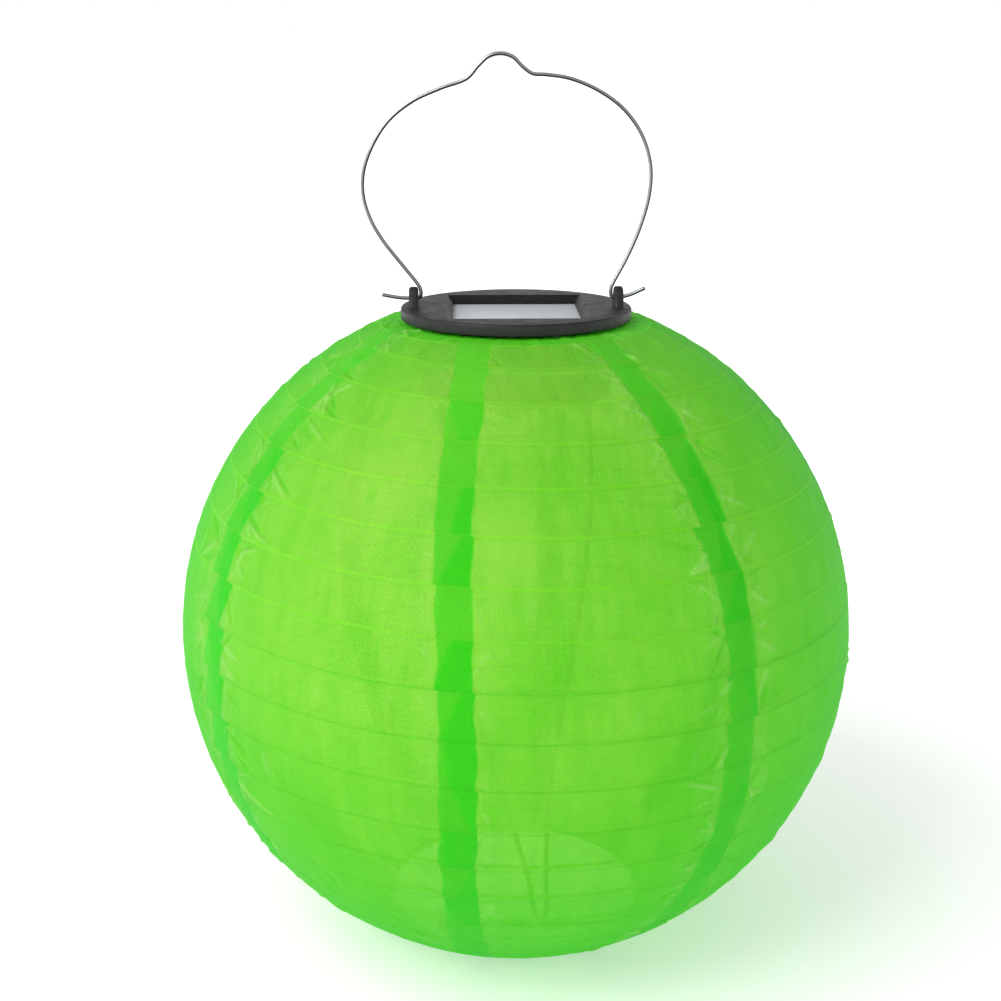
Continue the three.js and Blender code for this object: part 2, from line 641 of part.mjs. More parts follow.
// Half-widths and heights above the cap's top face, from the left free end over to the right one.
// Each leg comes down on the inner side of its ear and turns outwards through the ear's hole.
const BAIL_ROUTE = [
  [-48.3, 4.2], [-42, 3.1], [-37, HINGE_HEIGHT], [-35.2, HINGE_HEIGHT + 0.1], [-34.2, 4.2], [-34.3, 7.4],
  [-40.6, 15.8], [-47.2, 24], [-51.4, 31.8], [-53.2, 40], [-52.6, 48], [-49.4, 57], [-43.6, 65.2],
  [-35, 71.8], [-25, 76.2], [-15.6, 79.6], [-11.6, 83.8], [-7.8, 87], [-3.6, 87.9], [0.4, 86.8],
  [4, 83.4], [7.2, 81.2], [12, 80.8], [20, 79.6], [30, 75.6], [39, 69.2], [45.4, 60.4], [48.5, 50],
  [48.2, 40], [45, 28.4], [40, 17], [34.6, 8], [34.2, 4.4], [35.2, HINGE_HEIGHT + 0.1], [37, HINGE_HEIGHT],
  [41, 3.8], [46.6, 6.2],
];
const bailPoints = BAIL_ROUTE.map(([x, height]) => [x, 0, CAP_TOP_Z + height]);
place(lantern, 'handle_wire', wire(bailPoints, BAIL_WIRE_RADIUS, 110, 6), MATERIALS.wire);

export default lantern;
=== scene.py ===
import math

import bmesh
import bpy
import numpy as np
from mathutils import Euler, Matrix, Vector


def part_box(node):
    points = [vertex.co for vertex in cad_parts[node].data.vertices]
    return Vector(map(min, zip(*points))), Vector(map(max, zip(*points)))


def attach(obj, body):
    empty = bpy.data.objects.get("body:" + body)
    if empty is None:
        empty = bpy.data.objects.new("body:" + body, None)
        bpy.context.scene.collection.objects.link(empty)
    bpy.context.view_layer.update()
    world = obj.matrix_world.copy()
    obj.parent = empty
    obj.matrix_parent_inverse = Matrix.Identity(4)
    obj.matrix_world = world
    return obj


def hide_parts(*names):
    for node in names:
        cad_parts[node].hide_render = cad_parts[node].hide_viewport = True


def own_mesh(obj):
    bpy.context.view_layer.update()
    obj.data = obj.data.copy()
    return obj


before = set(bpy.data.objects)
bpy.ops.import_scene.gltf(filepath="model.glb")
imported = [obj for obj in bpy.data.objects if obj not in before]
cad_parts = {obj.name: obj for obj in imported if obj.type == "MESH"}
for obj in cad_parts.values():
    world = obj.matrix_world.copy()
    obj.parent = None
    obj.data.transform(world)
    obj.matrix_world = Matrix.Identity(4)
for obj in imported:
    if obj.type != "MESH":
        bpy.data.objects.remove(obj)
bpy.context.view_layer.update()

# Solar fabric lantern. Sizes are in millimetres, and MM turns them into Blender's metres.
MM = 0.001

# -------- driving dimensions, as in the frame

GLOBE_RADIUS = 125
GLOBE_CENTRE_Z = 116
GORE_COUNT = 8
GORE_ANGLE = 360 / GORE_COUNT
FIRST_SEAM_AZIMUTH = -10.05  # azimuth 0 faces -Y, and grows towards +X
SEAM_WIDTH = 10.6

RIB_PITCH = 7.37  # degrees of latitude for each turn of the spiral rib
RIB_LATITUDE_AT_SEAM = 61.58
RIB_FIRST_GORE = -4
RIB_LAST_GORE = 136
RIB_WIRE_RADIUS = 0.6
RIB_INSET = 2.0

HEM_LATITUDE = 66.9
TOP_HOOP_RADIUS = 38.5
TOP_HOOP_Z = 230.4
BOTTOM_HOOP_RADIUS = 50
HOOP_TUBE_RADIUS = 1.5

CAP_RADIUS = 41.74
EAR_HEIGHT = 7
CAP_TOP_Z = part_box("cap_cover")[1].z / MM - EAR_HEIGHT
HOUSING_FLOOR_Z = CAP_TOP_Z - 31.2

# -------- the camera


def make_camera():
    data = bpy.data.cameras.new("camera")
    data.lens = 56.03
    data.sensor_width = 36
    data.clip_end = 200
    camera = bpy.data.objects.new("camera", data)
    camera.location = Vector((-18.65, -561.60, 209.85 + GLOBE_CENTRE_Z)) * MM
    camera.rotation_euler = Euler((math.radians(73.857), 0, math.radians(-1.327)))
    bpy.context.scene.collection.objects.link(camera)
    bpy.context.scene.camera = camera


make_camera()

# -------- mesh helpers


def mesh_object(name, points, faces, smooth=True):
    """A mesh from points in mm."""
    mesh = bpy.data.meshes.new(name)
    mesh.from_pydata((np.asarray(points, float) * MM).tolist(), [], faces)
    mesh.polygons.foreach_set("use_smooth", [smooth] * len(mesh.polygons))
    obj = bpy.data.objects.new(name, mesh)
    bpy.context.scene.collection.objects.link(obj)
    return obj


def grid_faces(rows, columns, closed=False):
    """Faces over a grid of points. A closed grid's last column joins its first."""
    span = columns if closed else columns - 1
    faces = []
    for row in range(rows - 1):
        for column in range(span):
            right = (column + 1) % columns
            faces.append((
                row * columns + column,
                (row + 1) * columns + column,
                (row + 1) * columns + right,
                row * columns + right,
            ))
    return faces


def add_attribute(obj, name, values):
    attribute = obj.data.attributes.new(name, "FLOAT", "POINT")
    attribute.data.foreach_set("value", np.asarray(values, np.float32).ravel())


def add_uv(obj, uv):
    """UV map "cloth" from one (u, v) per vertex, in metres along the cloth."""
    layer = obj.data.uv_layers.new(name="cloth")
    loops = np.empty(len(obj.data.loops), np.int32)
    obj.data.loops.foreach_get("vertex_index", loops)
    layer.data.foreach_set("uv", np.asarray(uv, np.float32)[loops].ravel())


def turn_mesh(obj, angles):
    """Turns a mesh about the origin, by angles round X, Y and Z in radians."""
    obj.data.transform(Euler(angles).to_matrix().to_4x4())


def shift_mesh(obj, offset):
    for vertex in obj.data.vertices:
        vertex.co += Vector(offset) * MM


def cad_box(node):
    """The low and high corners of a CAD node, in mm."""
    return [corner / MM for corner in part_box(node)]


def catmull_rom(points, per_span):
    """A smooth centripetal Catmull-Rom curve through the points."""
    points = [np.array(p, float) for p in points]
    points = [2 * points[0] - points[1]] + points + [2 * points[-1] - points[-2]]
    curve = []
    for a, b, c, d in zip(points, points[1:], points[2:], points[3:]):
        steps = [math.sqrt(np.linalg.norm(q - p)) for p, q in ((a, b), (b, c), (c, d))]
        t1 = steps[0]
        t2 = t1 + steps[1]
        t3 = t2 + steps[2]
        for i in range(per_span):
            t = t1 + (t2 - t1) * i / per_span
            ab = (t1 - t) / t1 * a + t / t1 * b
            bc = (t2 - t) / (t2 - t1) * b + (t - t1) / (t2 - t1) * c
            cd = (t3 - t) / (t3 - t2) * c + (t - t2) / (t3 - t2) * d
            abc = (t2 - t) / t2 * ab + t / t2 * bc
            bcd = (t3 - t) / (t3 - t1) * bc + (t - t1) / (t3 - t1) * cd
            curve.append((t2 - t) / (t2 - t1) * abc + (t - t1) / (t2 - t1) * bcd)
    curve.append(points[-2])
    return np.array(curve)


def tube(name, path, radius, sides=16):
    """A wire along a path, with its section carried along without twist and its ends chamfered."""
    path = np.asarray(path, float)
    tangents = np.gradient(path, axis=0)
    tangents /= np.linalg.norm(tangents, axis=1)[:, None]
    normal = np.cross(tangents[0], (0.3, 0.5, 0.8))
    rings = []
    angles = np.arange(sides) * 2 * np.pi / sides
    for point, tangent in zip(path, tangents):
        normal = normal - tangent * normal.dot(tangent)
        normal /= np.linalg.norm(normal)
        side = np.cross(tangent, normal)
        rings.append(point + radius * (
            np.cos(angles)[:, None] * normal + np.sin(angles)[:, None] * side))
    chamfer = 0.3
    first = path[0] + (rings[0] - path[0]) * (1 - chamfer) - tangents[0] * chamfer * radius
    last = path[-1] + (rings[-1] - path[-1]) * (1 - chamfer) + tangents[-1] * chamfer * radius
    rings = [first, *rings, last]
    faces = [tuple(reversed(face)) for face in grid_faces(len(rings), sides, closed=True)]
    end = (len(rings) - 1) * sides
    faces.append(tuple(reversed(range(sides))))
    faces.append(tuple(end + i for i in range(sides)))
    obj = mesh_object(name, np.concatenate(rings), faces)
    mark_sharp(obj, 50)
    return obj


def mark_sharp(obj, degrees):
    obj.data.set_sharp_from_angle(angle=math.radians(degrees))


def arc(centre, radius, start, end, steps):
    """Points on an arc in a profile, from one angle to another in degrees."""
    return [
        (
            centre[0] + radius * math.cos(math.radians(start + (end - start) * i / steps)),
            centre[1] + radius * math.sin(math.radians(start + (end - start) * i / steps)),
        )
        for i in range(steps + 1)
    ]


AXIS_TOLERANCE = 1e-6  # a smaller radius is a point on the axis


def turned(name, profile, segments=128, centre=(0, 0), sharp=35):
    """A profile of (radius, z) points turned round the Z axis, its outside listed upwards."""
    points = []
    rings = []
    for radius, z in profile:
        count = 1 if radius < AXIS_TOLERANCE else segments
        rings.append((len(points), count))
        for i in range(count):
            angle = 2 * math.pi * i / segments
            points.append((
                centre[0] + radius * math.cos(angle), centre[1] + radius * math.sin(angle), z))
    faces = []
    closed = rings + ([rings[0]] if profile[0][0] > AXIS_TOLERANCE else [])
    for (low, low_count), (high, high_count) in zip(closed, closed[1:]):
        for i in range(segments):
            j = (i + 1) % segments
            if low_count == 1 and high_count == 1:
                continue
            if low_count == 1:
                faces.append((low, high + j, high + i))
            elif high_count == 1:
                faces.append((low + i, low + j, high))
            else:
                faces.append((low + i, low + j, high + j, high + i))
    obj = mesh_object(name, points, faces)
    mark_sharp(obj, sharp)
    return obj


def block(name, low, high, bevel=0.3, segments=2):
    """A box between two corners in mm, with its edges rounded."""
    bm = bmesh.new()
    bmesh.ops.create_cube(bm, size=1)
    low, high = Vector(low), Vector(high)
    size = high - low
    for vertex in bm.verts:
        vertex.co = (low + high) / 2 + Vector(a * b for a, b in zip(vertex.co, size))
    if bevel:
        bmesh.ops.bevel(
            bm, geom=bm.edges[:], offset=bevel, segments=segments, affect="EDGES", profile=0.5)
    for vertex in bm.verts:
        vertex.co *= MM
    mesh = bpy.data.meshes.new(name)
    bm.to_mesh(mesh)
    bm.free()
    mesh.polygons.foreach_set("use_smooth", [True] * len(mesh.polygons))
    obj = bpy.data.objects.new(name, mesh)
    bpy.context.scene.collection.objects.link(obj)
    mark_sharp(obj, 40)
    return obj


def centred_block(name, x, y, half_x, half_y, z0, z1, bevel=0.3, segments=2):
    """A block round a point in X and Y, from z0 up to z1."""
    return block(name, (x - half_x, y - half_y, z0), (x + half_x, y + half_y, z1), bevel, segments)


def discard(obj):
    mesh = obj.data
    bpy.data.objects.remove(obj)
    bpy.data.meshes.remove(mesh)


def combine(base, others, operation):
    """Cuts the others out of the base, or joins them to it, and removes them."""
    for other in others:
        modifier = base.modifiers.new("combine", "BOOLEAN")
        modifier.operation = operation
        modifier.solver = "EXACT"
        modifier.object = other
    apply_modifiers(base)
    for other in others:
        discard(other)
    return base


def apply_modifiers(obj):
    bpy.context.view_layer.update()
    evaluated = obj.evaluated_get(bpy.context.evaluated_depsgraph_get())
    mesh = bpy.data.meshes.new_from_object(evaluated)
    old = obj.data
    obj.modifiers.clear()
    obj.data = mesh
    mesh.name = old.name
    bpy.data.meshes.remove(old)


def round_edges(obj, width, segments=3, degrees=60):
    bevel = obj.modifiers.new("round", "BEVEL")
    bevel.width = width * MM
    bevel.segments = segments
    bevel.limit_method = "ANGLE"
    bevel.angle_limit = math.radians(degrees)
    apply_modifiers(obj)
    mark_sharp(obj, 40)
    return obj


def rounded_rectangle(width, depth, radius, centre):
    """The outline of a rectangle with round corners, anticlockwise."""
    outline = []
    corners = ((1, 1, 0), (-1, 1, 90), (-1, -1, 180), (1, -1, 270))
    for side_x, side_y, start in corners:
        corner = (
            centre[0] + side_x * (width / 2 - radius), centre[1] + side_y * (depth / 2 - radius))
        outline += arc(corner, radius, start, start + 90, 6)
    return outline


def prism_faces(count):
    """The faces of a prism: its lower outline, its upper one, and its sides."""
    faces = [tuple(reversed(range(count))), tuple(range(count, 2 * count))]
    faces += [(i, (i + 1) % count, (i + 1) % count + count, i + count) for i in range(count)]
    return faces


def extruded(name, outline, z0, z1, edge):
    """An outline in X and Y, from z0 up to z1, with its edges rounded."""
    points = [(x, y, z) for z in (z0, z1) for x, y in outline]
    obj = mesh_object(name, points, prism_faces(len(outline)))
    return round_edges(obj, edge) if edge else obj


def rounded_slab(name, size, corner_radius, centre, z0, z1, edge):
    """A plate with round corners, from z0 up to z1."""
    return extruded(name, rounded_rectangle(*size, corner_radius, centre), z0, z1, edge)


def post(name, radius, z0, z1, x=0.0, y=0.0, segments=40):
    return turned(name, [(0, z0), (radius, z0), (radius, z1), (0, z1)], segments, (x, y))


def joined(name, pieces):
    """Separate closed shells in one mesh, such as a chip and its legs."""
    points, faces = [], []
    for piece in pieces:
        base = len(points)
        points += [vertex.co / MM for vertex in piece.data.vertices]
        faces += [tuple(base + i for i in polygon.vertices) for polygon in piece.data.polygons]
        discard(piece)
    obj = mesh_object(name, points, faces)
    mark_sharp(obj, 40)
    return obj


def finished(obj, material, body, node):
    """Gives a piece its material, the body that it rides on and the CAD node that it stands for."""
    assign(obj, material)
    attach(obj, body)
    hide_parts(node)
    return obj


# -------- material helpers


class Shader:
    """A node material, with one method for each kind of node that the lantern's materials use."""

    def __init__(self, name):
        self.material = bpy.data.materials.new(name)
        self.material.use_nodes = True
        self.tree = self.material.node_tree
        self.tree.nodes.clear()
        self.output = self.tree.nodes.new("ShaderNodeOutputMaterial")

    def node(self, kind, inputs=None, **settings):
        node = self.tree.nodes.new("ShaderNode" + kind)
        for key, value in settings.items():
            setattr(node, key, value)
        for key, value in (inputs or {}).items():
            self.feed(node.inputs[key], value)
        return node

    def feed(self, socket, value):
        if isinstance(value, bpy.types.NodeSocket):
            self.tree.links.new(value, socket)
        elif isinstance(value, tuple) and len(value) == 3 and socket.type == "RGBA":
            socket.default_value = (*value, 1)
        else:
            socket.default_value = value

    def math(self, operation, a, b=0.0):
        return self.node("Math", {0: a, 1: b}, operation=operation).outputs[0]

    def times(self, a, b):
        return self.math("MULTIPLY", a, b)

    def weighted(self, *terms):
        """The sum of some values, each given with its weight."""
        total = self.times(*terms[0])
        for value, weight in terms[1:]:
            total = self.math("ADD", total, self.times(value, weight))
        return total

    def dot(self, a, b):
        return self.node("VectorMath", {0: a, 1: b}, operation="DOT_PRODUCT").outputs["Value"]

    def split(self, vector):
        return self.node("SeparateXYZ", {0: vector}).outputs

    def ramp(self, value, low, high, out_low=0.0, out_high=1.0):
        inputs = {"Value": value, "From Min": low, "From Max": high}
        inputs.update({"To Min": out_low, "To Max": out_high})
        return self.node("MapRange", inputs, clamp=True).outputs["Result"]

    def mix(self, factor, a, b, blend_type="MIX"):
        inputs = {0: factor, 6: a, 7: b}
        return self.node("Mix", inputs, data_type="RGBA", blend_type=blend_type).outputs[2]

    def product(self, a, b):
        return self.mix(1.0, a, b, "MULTIPLY")

    def noise(self, scale, detail, vector=None, distortion=0.0):
        vector = self.position() if vector is None else vector
        inputs = {"Vector": vector, "Scale": scale, "Detail": detail, "Distortion": distortion}
        return self.node("TexNoise", inputs).outputs["Fac"]

    def mottle(self, scale, detail, out_low=0.0, out_high=1.0):
        """Noise stretched between two values."""
        return self.ramp(self.noise(scale, detail), 0.3, 0.7, out_low, out_high)

    def position(self):
        return self.node("TexCoord").outputs["Object"]

    def attribute(self, name):
        return self.node("Attribute", attribute_name=name).outputs["Fac"]

    def cloth_uv(self):
        return self.node("UVMap", uv_map="cloth").outputs["UV"]

    def scaled(self, vector, scale):
        return self.node("Mapping", {"Vector": vector, "Scale": scale}).outputs["Vector"]

    def bump(self, height, strength, distance):
        inputs = {"Height": height, "Strength": strength, "Distance": distance}
        return self.node("Bump", inputs).outputs["Normal"]

    def principled(self, **inputs):
        named = {key.replace("_", " "): value for key, value in inputs.items()}
        return self.node("BsdfPrincipled", named).outputs[0]

    def blend(self, factor, a, b):
        return self.node("MixShader", {0: factor, 1: a, 2: b}).outputs[0]

    def finish(self, surface):
        self.tree.links.new(surface, self.output.inputs["Surface"])
        return self.material


def assign(obj, material):
    obj.data.materials.clear()
    obj.data.materials.append(material)
    return obj


# -------- materials

THREAD_SPACING = 0.00075
SHEEN_SIDE = (-0.38, 0.3, 0.6)  # the face is painted yellower this way, a painted sheen of the light from the upper left
LIMB_SHADE_AXIS = (-0.03, -0.936, 0.35)  # painted paler facing this way and the opposite way, and painted deeper green across it, a painted shade
SEAM_PALE_FROM_Z, SEAM_PALE_Z = 190, 220
LINE_BRIGHT_Z, LINE_DARK_Z = 156, 136  # the rib's line is painted bright above the first, a painted highlight, and dark below the other, a painted shade


def fabric_material(name, face, through, see_through, translucency, painted_sheen_amount=1.0):
    """Thin woven polyester. `face` is its own colour, `through` the colour of light that passes.

    The cloth's face and the light through it are painted yellower on its upper left side, a painted
    sheen of the light from there, as far as its last argument says."""
    s = Shader(name)
    uv = s.cloth_uv()
    across, along, _ = s.split(uv)
    thread_turns = 2 * math.pi / THREAD_SPACING
    warp = s.math("SINE", s.times(across, thread_turns))
    weft = s.math("SINE", s.times(along, thread_turns))
    weave = s.times(warp, weft)
    slub = s.noise(1.0, 3.0, s.scaled(uv, (900, 60, 1)))
    cross_slub = s.noise(1.0, 3.0, s.scaled(uv, (60, 900, 1)))
    threads = s.math("ADD", slub, cross_slub)
    crinkle = s.noise(150, 4.0)
    # Sharp gathers beside a seam.
    folds = s.noise(1.0, 2.0, s.scaled(uv, (150, 95, 1)), distortion=1.4)
    valley = s.math("ABSOLUTE", s.math("SUBTRACT", folds, 0.5))
    gather = s.times(s.ramp(valley, 0.0, 0.16, 1.0, 0.0), s.attribute("pucker"))
    height = s.weighted((weave, 0.10), (threads, 0.25), (crinkle, 1.0), (gather, 0.9))
    normal = s.bump(height, 0.6, 0.0007)
    # Its tone drifts from yellowish to plain green, in clouds and along the threads.
    cloud = s.ramp(s.noise(26, 3.0), 0.35, 0.65)
    streak = s.ramp(s.noise(1.0, 2.0, s.scaled(uv, (130, 28, 1))), 0.35, 0.65)
    thread_tone = s.ramp(threads, 0.75, 1.25)
    tone = s.weighted((cloud, 0.48), (streak, 0.30), (thread_tone, 0.22))
    # Painted sheen: the upper left side is painted yellower, where the light falls on it.
    painted_sheen = s.ramp(s.dot(s.position(), SHEEN_SIDE), -0.03, 0.11, 0.0, painted_sheen_amount)
    layers = s.attribute("layers")
    crease = s.attribute("crease")
    # Painted highlight on the crease ridges and gathers, and painted shade in the crease hollows
    # and along the rib.
    painted_highlight = s.math("ADD", s.ramp(crease, 0.08, 0.5, 0.0, 0.46), s.times(gather, 0.25))
    shade = s.ramp(crease, -0.05, -0.4, 0.0, 0.6)
    spread = s.mix(tone, (0.62, 0.93, 0.50), (1.50, 1.05, 1.7))
    face_colour = s.product(s.mix(painted_sheen, face, (0.283, 0.745, 0.053)), spread)
    # Towards the sides and the foot, as seen from the front, the face is painted a deeper green
    # than on its front and back: painted shade.
    level = GLOBE_CENTRE_Z * MM * LIMB_SHADE_AXIS[2]
    toward = s.math("SUBTRACT", s.dot(s.position(), LIMB_SHADE_AXIS), level)
    front_facing = s.math("DIVIDE", s.math("ABSOLUTE", toward), GLOBE_RADIUS * MM)
    face_colour = s.mix(s.ramp(front_facing, 0.88, 0.35, 0.0, 0.95), face_colour, (0.04, 0.66, 0.003))
    # Where a seam band or the hem lies under the cloth, its face is painted a deeper green: partly
    # the doubled cloth's own colour, partly painted shade where the band blocks the light from
    # inside. Near the top it is painted paler, a painted highlight.
    height_up = s.split(s.position())[2]
    near_top = s.ramp(height_up, SEAM_PALE_FROM_Z * MM, SEAM_PALE_Z * MM)
    doubled = s.mix(near_top, (0.018, 0.70, 0.003), (0.11, 0.80, 0.02))
    face_colour = s.mix(s.times(layers, 0.72), face_colour, doubled)
    face_colour = s.mix(painted_highlight, face_colour, (0.46, 0.84, 0.24))
    face_colour = s.mix(shade, face_colour, (0.08, 0.68, 0.01))
    # Over the wire the cloth is painted bright above the middle, a painted highlight, and dark
    # below it, a painted shade.
    shadowed = s.ramp(height_up, LINE_BRIGHT_Z * MM, LINE_DARK_Z * MM)
    line_colour = s.mix(shadowed, (0.26, 0.98, 0.02), (0.03, 0.55, 0.006))
    face_colour = s.mix(s.attribute("over_wire"), face_colour, line_colour)
    through_spread = s.mix(tone, (0.75, 0.92, 0.7), (1.25, 1.04, 1.3))
    through_colour = s.product(s.mix(painted_sheen, through, (0.345, 0.81, 0.085)), through_spread)
    through_colour = s.mix(s.times(layers, 0.5), through_colour, (0.06, 0.72, 0.01))
    surface = s.principled(
        Base_Color=face_colour, Roughness=0.55, Specular_IOR_Level=0.6,
        Specular_Tint=(1.0, 0.85, 0.4), Normal=normal)
    glow = s.node("BsdfTranslucent", {"Color": through_colour, "Normal": normal}).outputs[0]
    gap = s.node("BsdfTransparent", {"Color": (0.80, 1.0, 0.50)}).outputs[0]
    # Seen along its surface, the weave closes up.
    edge_on = s.node("LayerWeight", {"Blend": 0.5}).outputs["Facing"]
    open_weave = s.ramp(edge_on, 0.3, 0.85, see_through, 0.0)
    cloth = s.blend(translucency, surface, glow)
    return s.finish(s.blend(open_weave, cloth, gap))


def metal_material(name, colour, roughness):
    """Drawn wire or plated steel: a mottled plating with fine lines."""
    scratch = 0.12
    s = Shader(name)
    tint = s.mix(s.mottle(900, 4.0), tuple(0.8 * c for c in colour), colour)
    rough = s.mottle(1500, 2.0, roughness - scratch / 2, roughness + scratch)
    normal = s.bump(s.noise(2600, 3.0), 0.15, 0.0002)
    return s.finish(s.principled(
        Base_Color=tint, Metallic=1.0, Roughness=rough, Normal=normal))


def bright_wire_material(name, light, dark):
    """Bright galvanised wire, painted dark underneath, a painted shade, and a little along its
    sides as seen from the front, a painted dark reflection.
    """
    s = Shader(name)
    outward = s.node("TexCoord").outputs["Normal"]
    front = s.math("ABSOLUTE", s.split(outward)[1])
    underneath = s.ramp(s.dot(outward, (-0.4, 0.0, 0.9)), 0.35, -0.2)
    # Painted shade underneath and a painted dark reflection along the sides, where the wire is also
    # made less metallic.
    painted_dark = s.math("MAXIMUM", underneath, s.ramp(front, 0.65, 0.25, 0.0, 0.6))
    mottle = s.ramp(s.noise(350, 3.0), 0.35, 0.65, 0.75, 1.0)
    plating = s.mix(mottle, tuple(0.6 * c for c in light), light)
    rough = s.mottle(1500, 2.0, 0.16, 0.3)
    normal = s.bump(s.noise(2600, 3.0), 0.12, 0.0002)
    metallic = s.ramp(painted_dark, 0.0, 1.0, 1.0, 0.15)
    return s.finish(s.principled(
        Base_Color=s.mix(painted_dark, plating, dark), Metallic=metallic, Roughness=rough,
        Normal=normal, Specular_IOR_Level=0.3))


def plastic_material(name, colour, roughness, grain=0.25, scale=1400, specular=0.35):
    """Moulded plastic with a fine texture and faint handling marks."""
    s = Shader(name)
    darker, paler = [tuple(share * c for c in colour) for share in (0.85, 1.15)]
    tint = s.mix(s.mottle(45, 4.0), darker, paler)
    rough = s.mottle(260, 3.0, roughness - 0.06, roughness + 0.08)
    normal = s.bump(s.noise(scale, 3.0), grain, 0.0003)
    return s.finish(s.principled(
        Base_Color=tint, Roughness=rough, Specular_IOR_Level=specular, Normal=normal))


FABRIC = fabric_material(
    "fabric", face=(0.10, 0.73, 0.010), through=(0.135, 0.82, 0.025), see_through=0.12,
    translucency=0.42)
SEAM_CLOTH = fabric_material(
    "seam_cloth", face=(0.06, 0.76, 0.010), through=(0.10, 0.72, 0.02), see_through=0.03,
    translucency=0.35, painted_sheen_amount=0.15)
WIRE = bright_wire_material(
    "galvanised_wire", light=(0.46, 0.49, 0.50), dark=(0.010, 0.014, 0.016))
RIB_METAL = metal_material("rib_wire", (0.85, 0.92, 0.75), 0.45)
CAP_PLASTIC = plastic_material("cap_plastic", (0.009, 0.0095, 0.0095), 0.5, specular=0.4)
HOUSING_PLASTIC = plastic_material("housing_plastic", (0.018, 0.018, 0.019), 0.55)

# -------- the globe's surface


def rib_latitude(gores):
    return RIB_LATITUDE_AT_SEAM - RIB_PITCH / GORE_COUNT * gores


def globe_point(latitude, inset=0.0):
    """Distance from the axis and height, at latitudes in degrees."""
    radius = GLOBE_RADIUS - inset
    angle = np.radians(latitude)
    return radius * np.cos(angle), GLOBE_CENTRE_Z + radius * np.sin(angle)


def bell(distance, width):
    """1 at no distance, dying away within about two widths."""
    return np.exp(-((distance / width) ** 2))


def smooth_step(low, high, value):
    t = np.clip((value - low) / (high - low), 0, 1)
    return t * t * (3 - 2 * t)


HEM_ROW = 1  # the stitched edge of the top hem, in gore_rows
BOTTOM_EDGE_RADIUS = BOTTOM_HOOP_RADIUS + HOOP_TUBE_RADIUS + 1.3
BOTTOM_LATITUDE = -math.degrees(math.acos(BOTTOM_EDGE_RADIUS / GLOBE_RADIUS))


def gore_rows(gore):
    """The lines that the cloth is straight between, from the top down.

    Each is (turn, line): line(along) gives radius and height, and turn counts the rib's turns."""
    rows = [
        (None, lambda along: (40.4 + 0 * along, CAP_TOP_Z - 5.2 + 0 * along)),
        (None, lambda along: globe_point(HEM_LATITUDE + 0 * along)),
    ]
    crossing = gore - GORE_COUNT if gore - GORE_COUNT >= RIB_FIRST_GORE else gore
    while crossing < RIB_LAST_GORE:
        rows.append((
            (crossing - gore) // GORE_COUNT,
            lambda along, start=crossing: globe_point(rib_latitude(start + along)),
        ))
        crossing += GORE_COUNT
    rows.append((None, lambda along: globe_point(BOTTOM_LATITUDE + 0 * along)))
    rows.append((None, lambda along: (
        BOTTOM_HOOP_RADIUS + HOOP_TUBE_RADIUS + 0.1 + 0 * along, 1.6 + 0 * along)))
    return rows


# How strongly each seam puckers the cloth beside it.
SEAM_PUCKER = [0.45, 1.1, 0.8, 0.9, 0.7, 1.0, 1.1, 1.6]
# How far each seam band slants within a strip, in mm: it jogs back at every turn of the rib.
SEAM_SLANT = [-0.6, 1.2, -1.5, 0.8, 1.6, -1.0, 1.8, -3.6]
# How far each seam wanders from its meridian at the top, the middle and the bottom, in mm.
SEAM_DRIFT = [
    (-7.5, 0.3, -4.5), (-1.5, -2.0, -6.5), (3.0, 3.0, 3.0), (1.0, -1.0, 1.5),
    (-1.0, 1.5, 0), (1.5, 0, -1.5), (-5.0, -2.0, -1.0), (-10.5, -5.5, 1.0),
]


def seam_azimuth(seam, r, z):
    """Where a seam runs, in radians, at a distance from the axis and a height."""
    top, middle, bottom = SEAM_DRIFT[seam % GORE_COUNT]
    rise = np.clip((z - GLOBE_CENTRE_Z) / GLOBE_RADIUS, -1, 1)
    drift = middle + (top - middle) * np.clip(rise, 0, 1) + (bottom - middle) * np.clip(-rise, 0, 1)
    return np.radians(FIRST_SEAM_AZIMUTH + GORE_ANGLE * seam) + drift / r


def seam_random(seam, strip):
    return np.random.default_rng(1000 * seam + strip + 50)


def band_edges(seam, strip, t):
    """Where the seam band's two edges run, in mm either side of the seam, down one strip.

    The band is caught at each turn of the rib and shifts a little from strip to strip."""
    random = seam_random(seam, strip)
    strength = SEAM_PUCKER[seam]
    shift = random.uniform(-0.9, 0.9) * strength
    lean = SEAM_SLANT[seam] + random.uniform(-1.4, 1.4) * strength
    narrow = random.uniform(-0.3, 0.5)
    phases = random.uniform(0, 2 * np.pi, 2)
    middle = shift + lean * (t - 0.5)
    half = SEAM_WIDTH / 2 + 0.6 - narrow * np.sin(np.pi * t)
    left = middle - half + 0.25 * np.sin(7 * t + phases[0])
    right = middle + half + 0.25 * np.sin(6 * t + phases[1])
    return left, right


def fold_line(seam, strip, t):
    """Distance from the seam of the slanted edge where the band's cloth is folded double."""
    random = seam_random(seam, strip + 500)
    if random.uniform() < 0.4:
        return None
    start, slope = random.uniform(-4, 4), random.uniform(-9, 9)
    return start + slope * (t - 0.5)


def layer_count(offset, edges, fold):
    """0 on single cloth, 1 on the seam band and 2 where that is folded double."""
    soft = 0.35
    left, right = edges
    band = smooth_step(-soft, soft, offset - left) * smooth_step(-soft, soft, right - offset)
    if fold is None:
        return band
    return band * (1 + 0.75 * smooth_step(-2.2, 2.2, offset - fold))


def ridge(x, y, start, angle, length, width, height):
    """A crease that begins at `start`, and swells and dies away along its length."""
    dx, dy = x - start[0], y - start[1]
    along = dx * math.cos(angle) + dy * math.sin(angle)
    across = -dx * math.sin(angle) + dy * math.cos(angle)
    body = np.sin(np.pi * np.clip(along / length, 0, 1)) ** 0.8
    return height * body * bell(across, width)


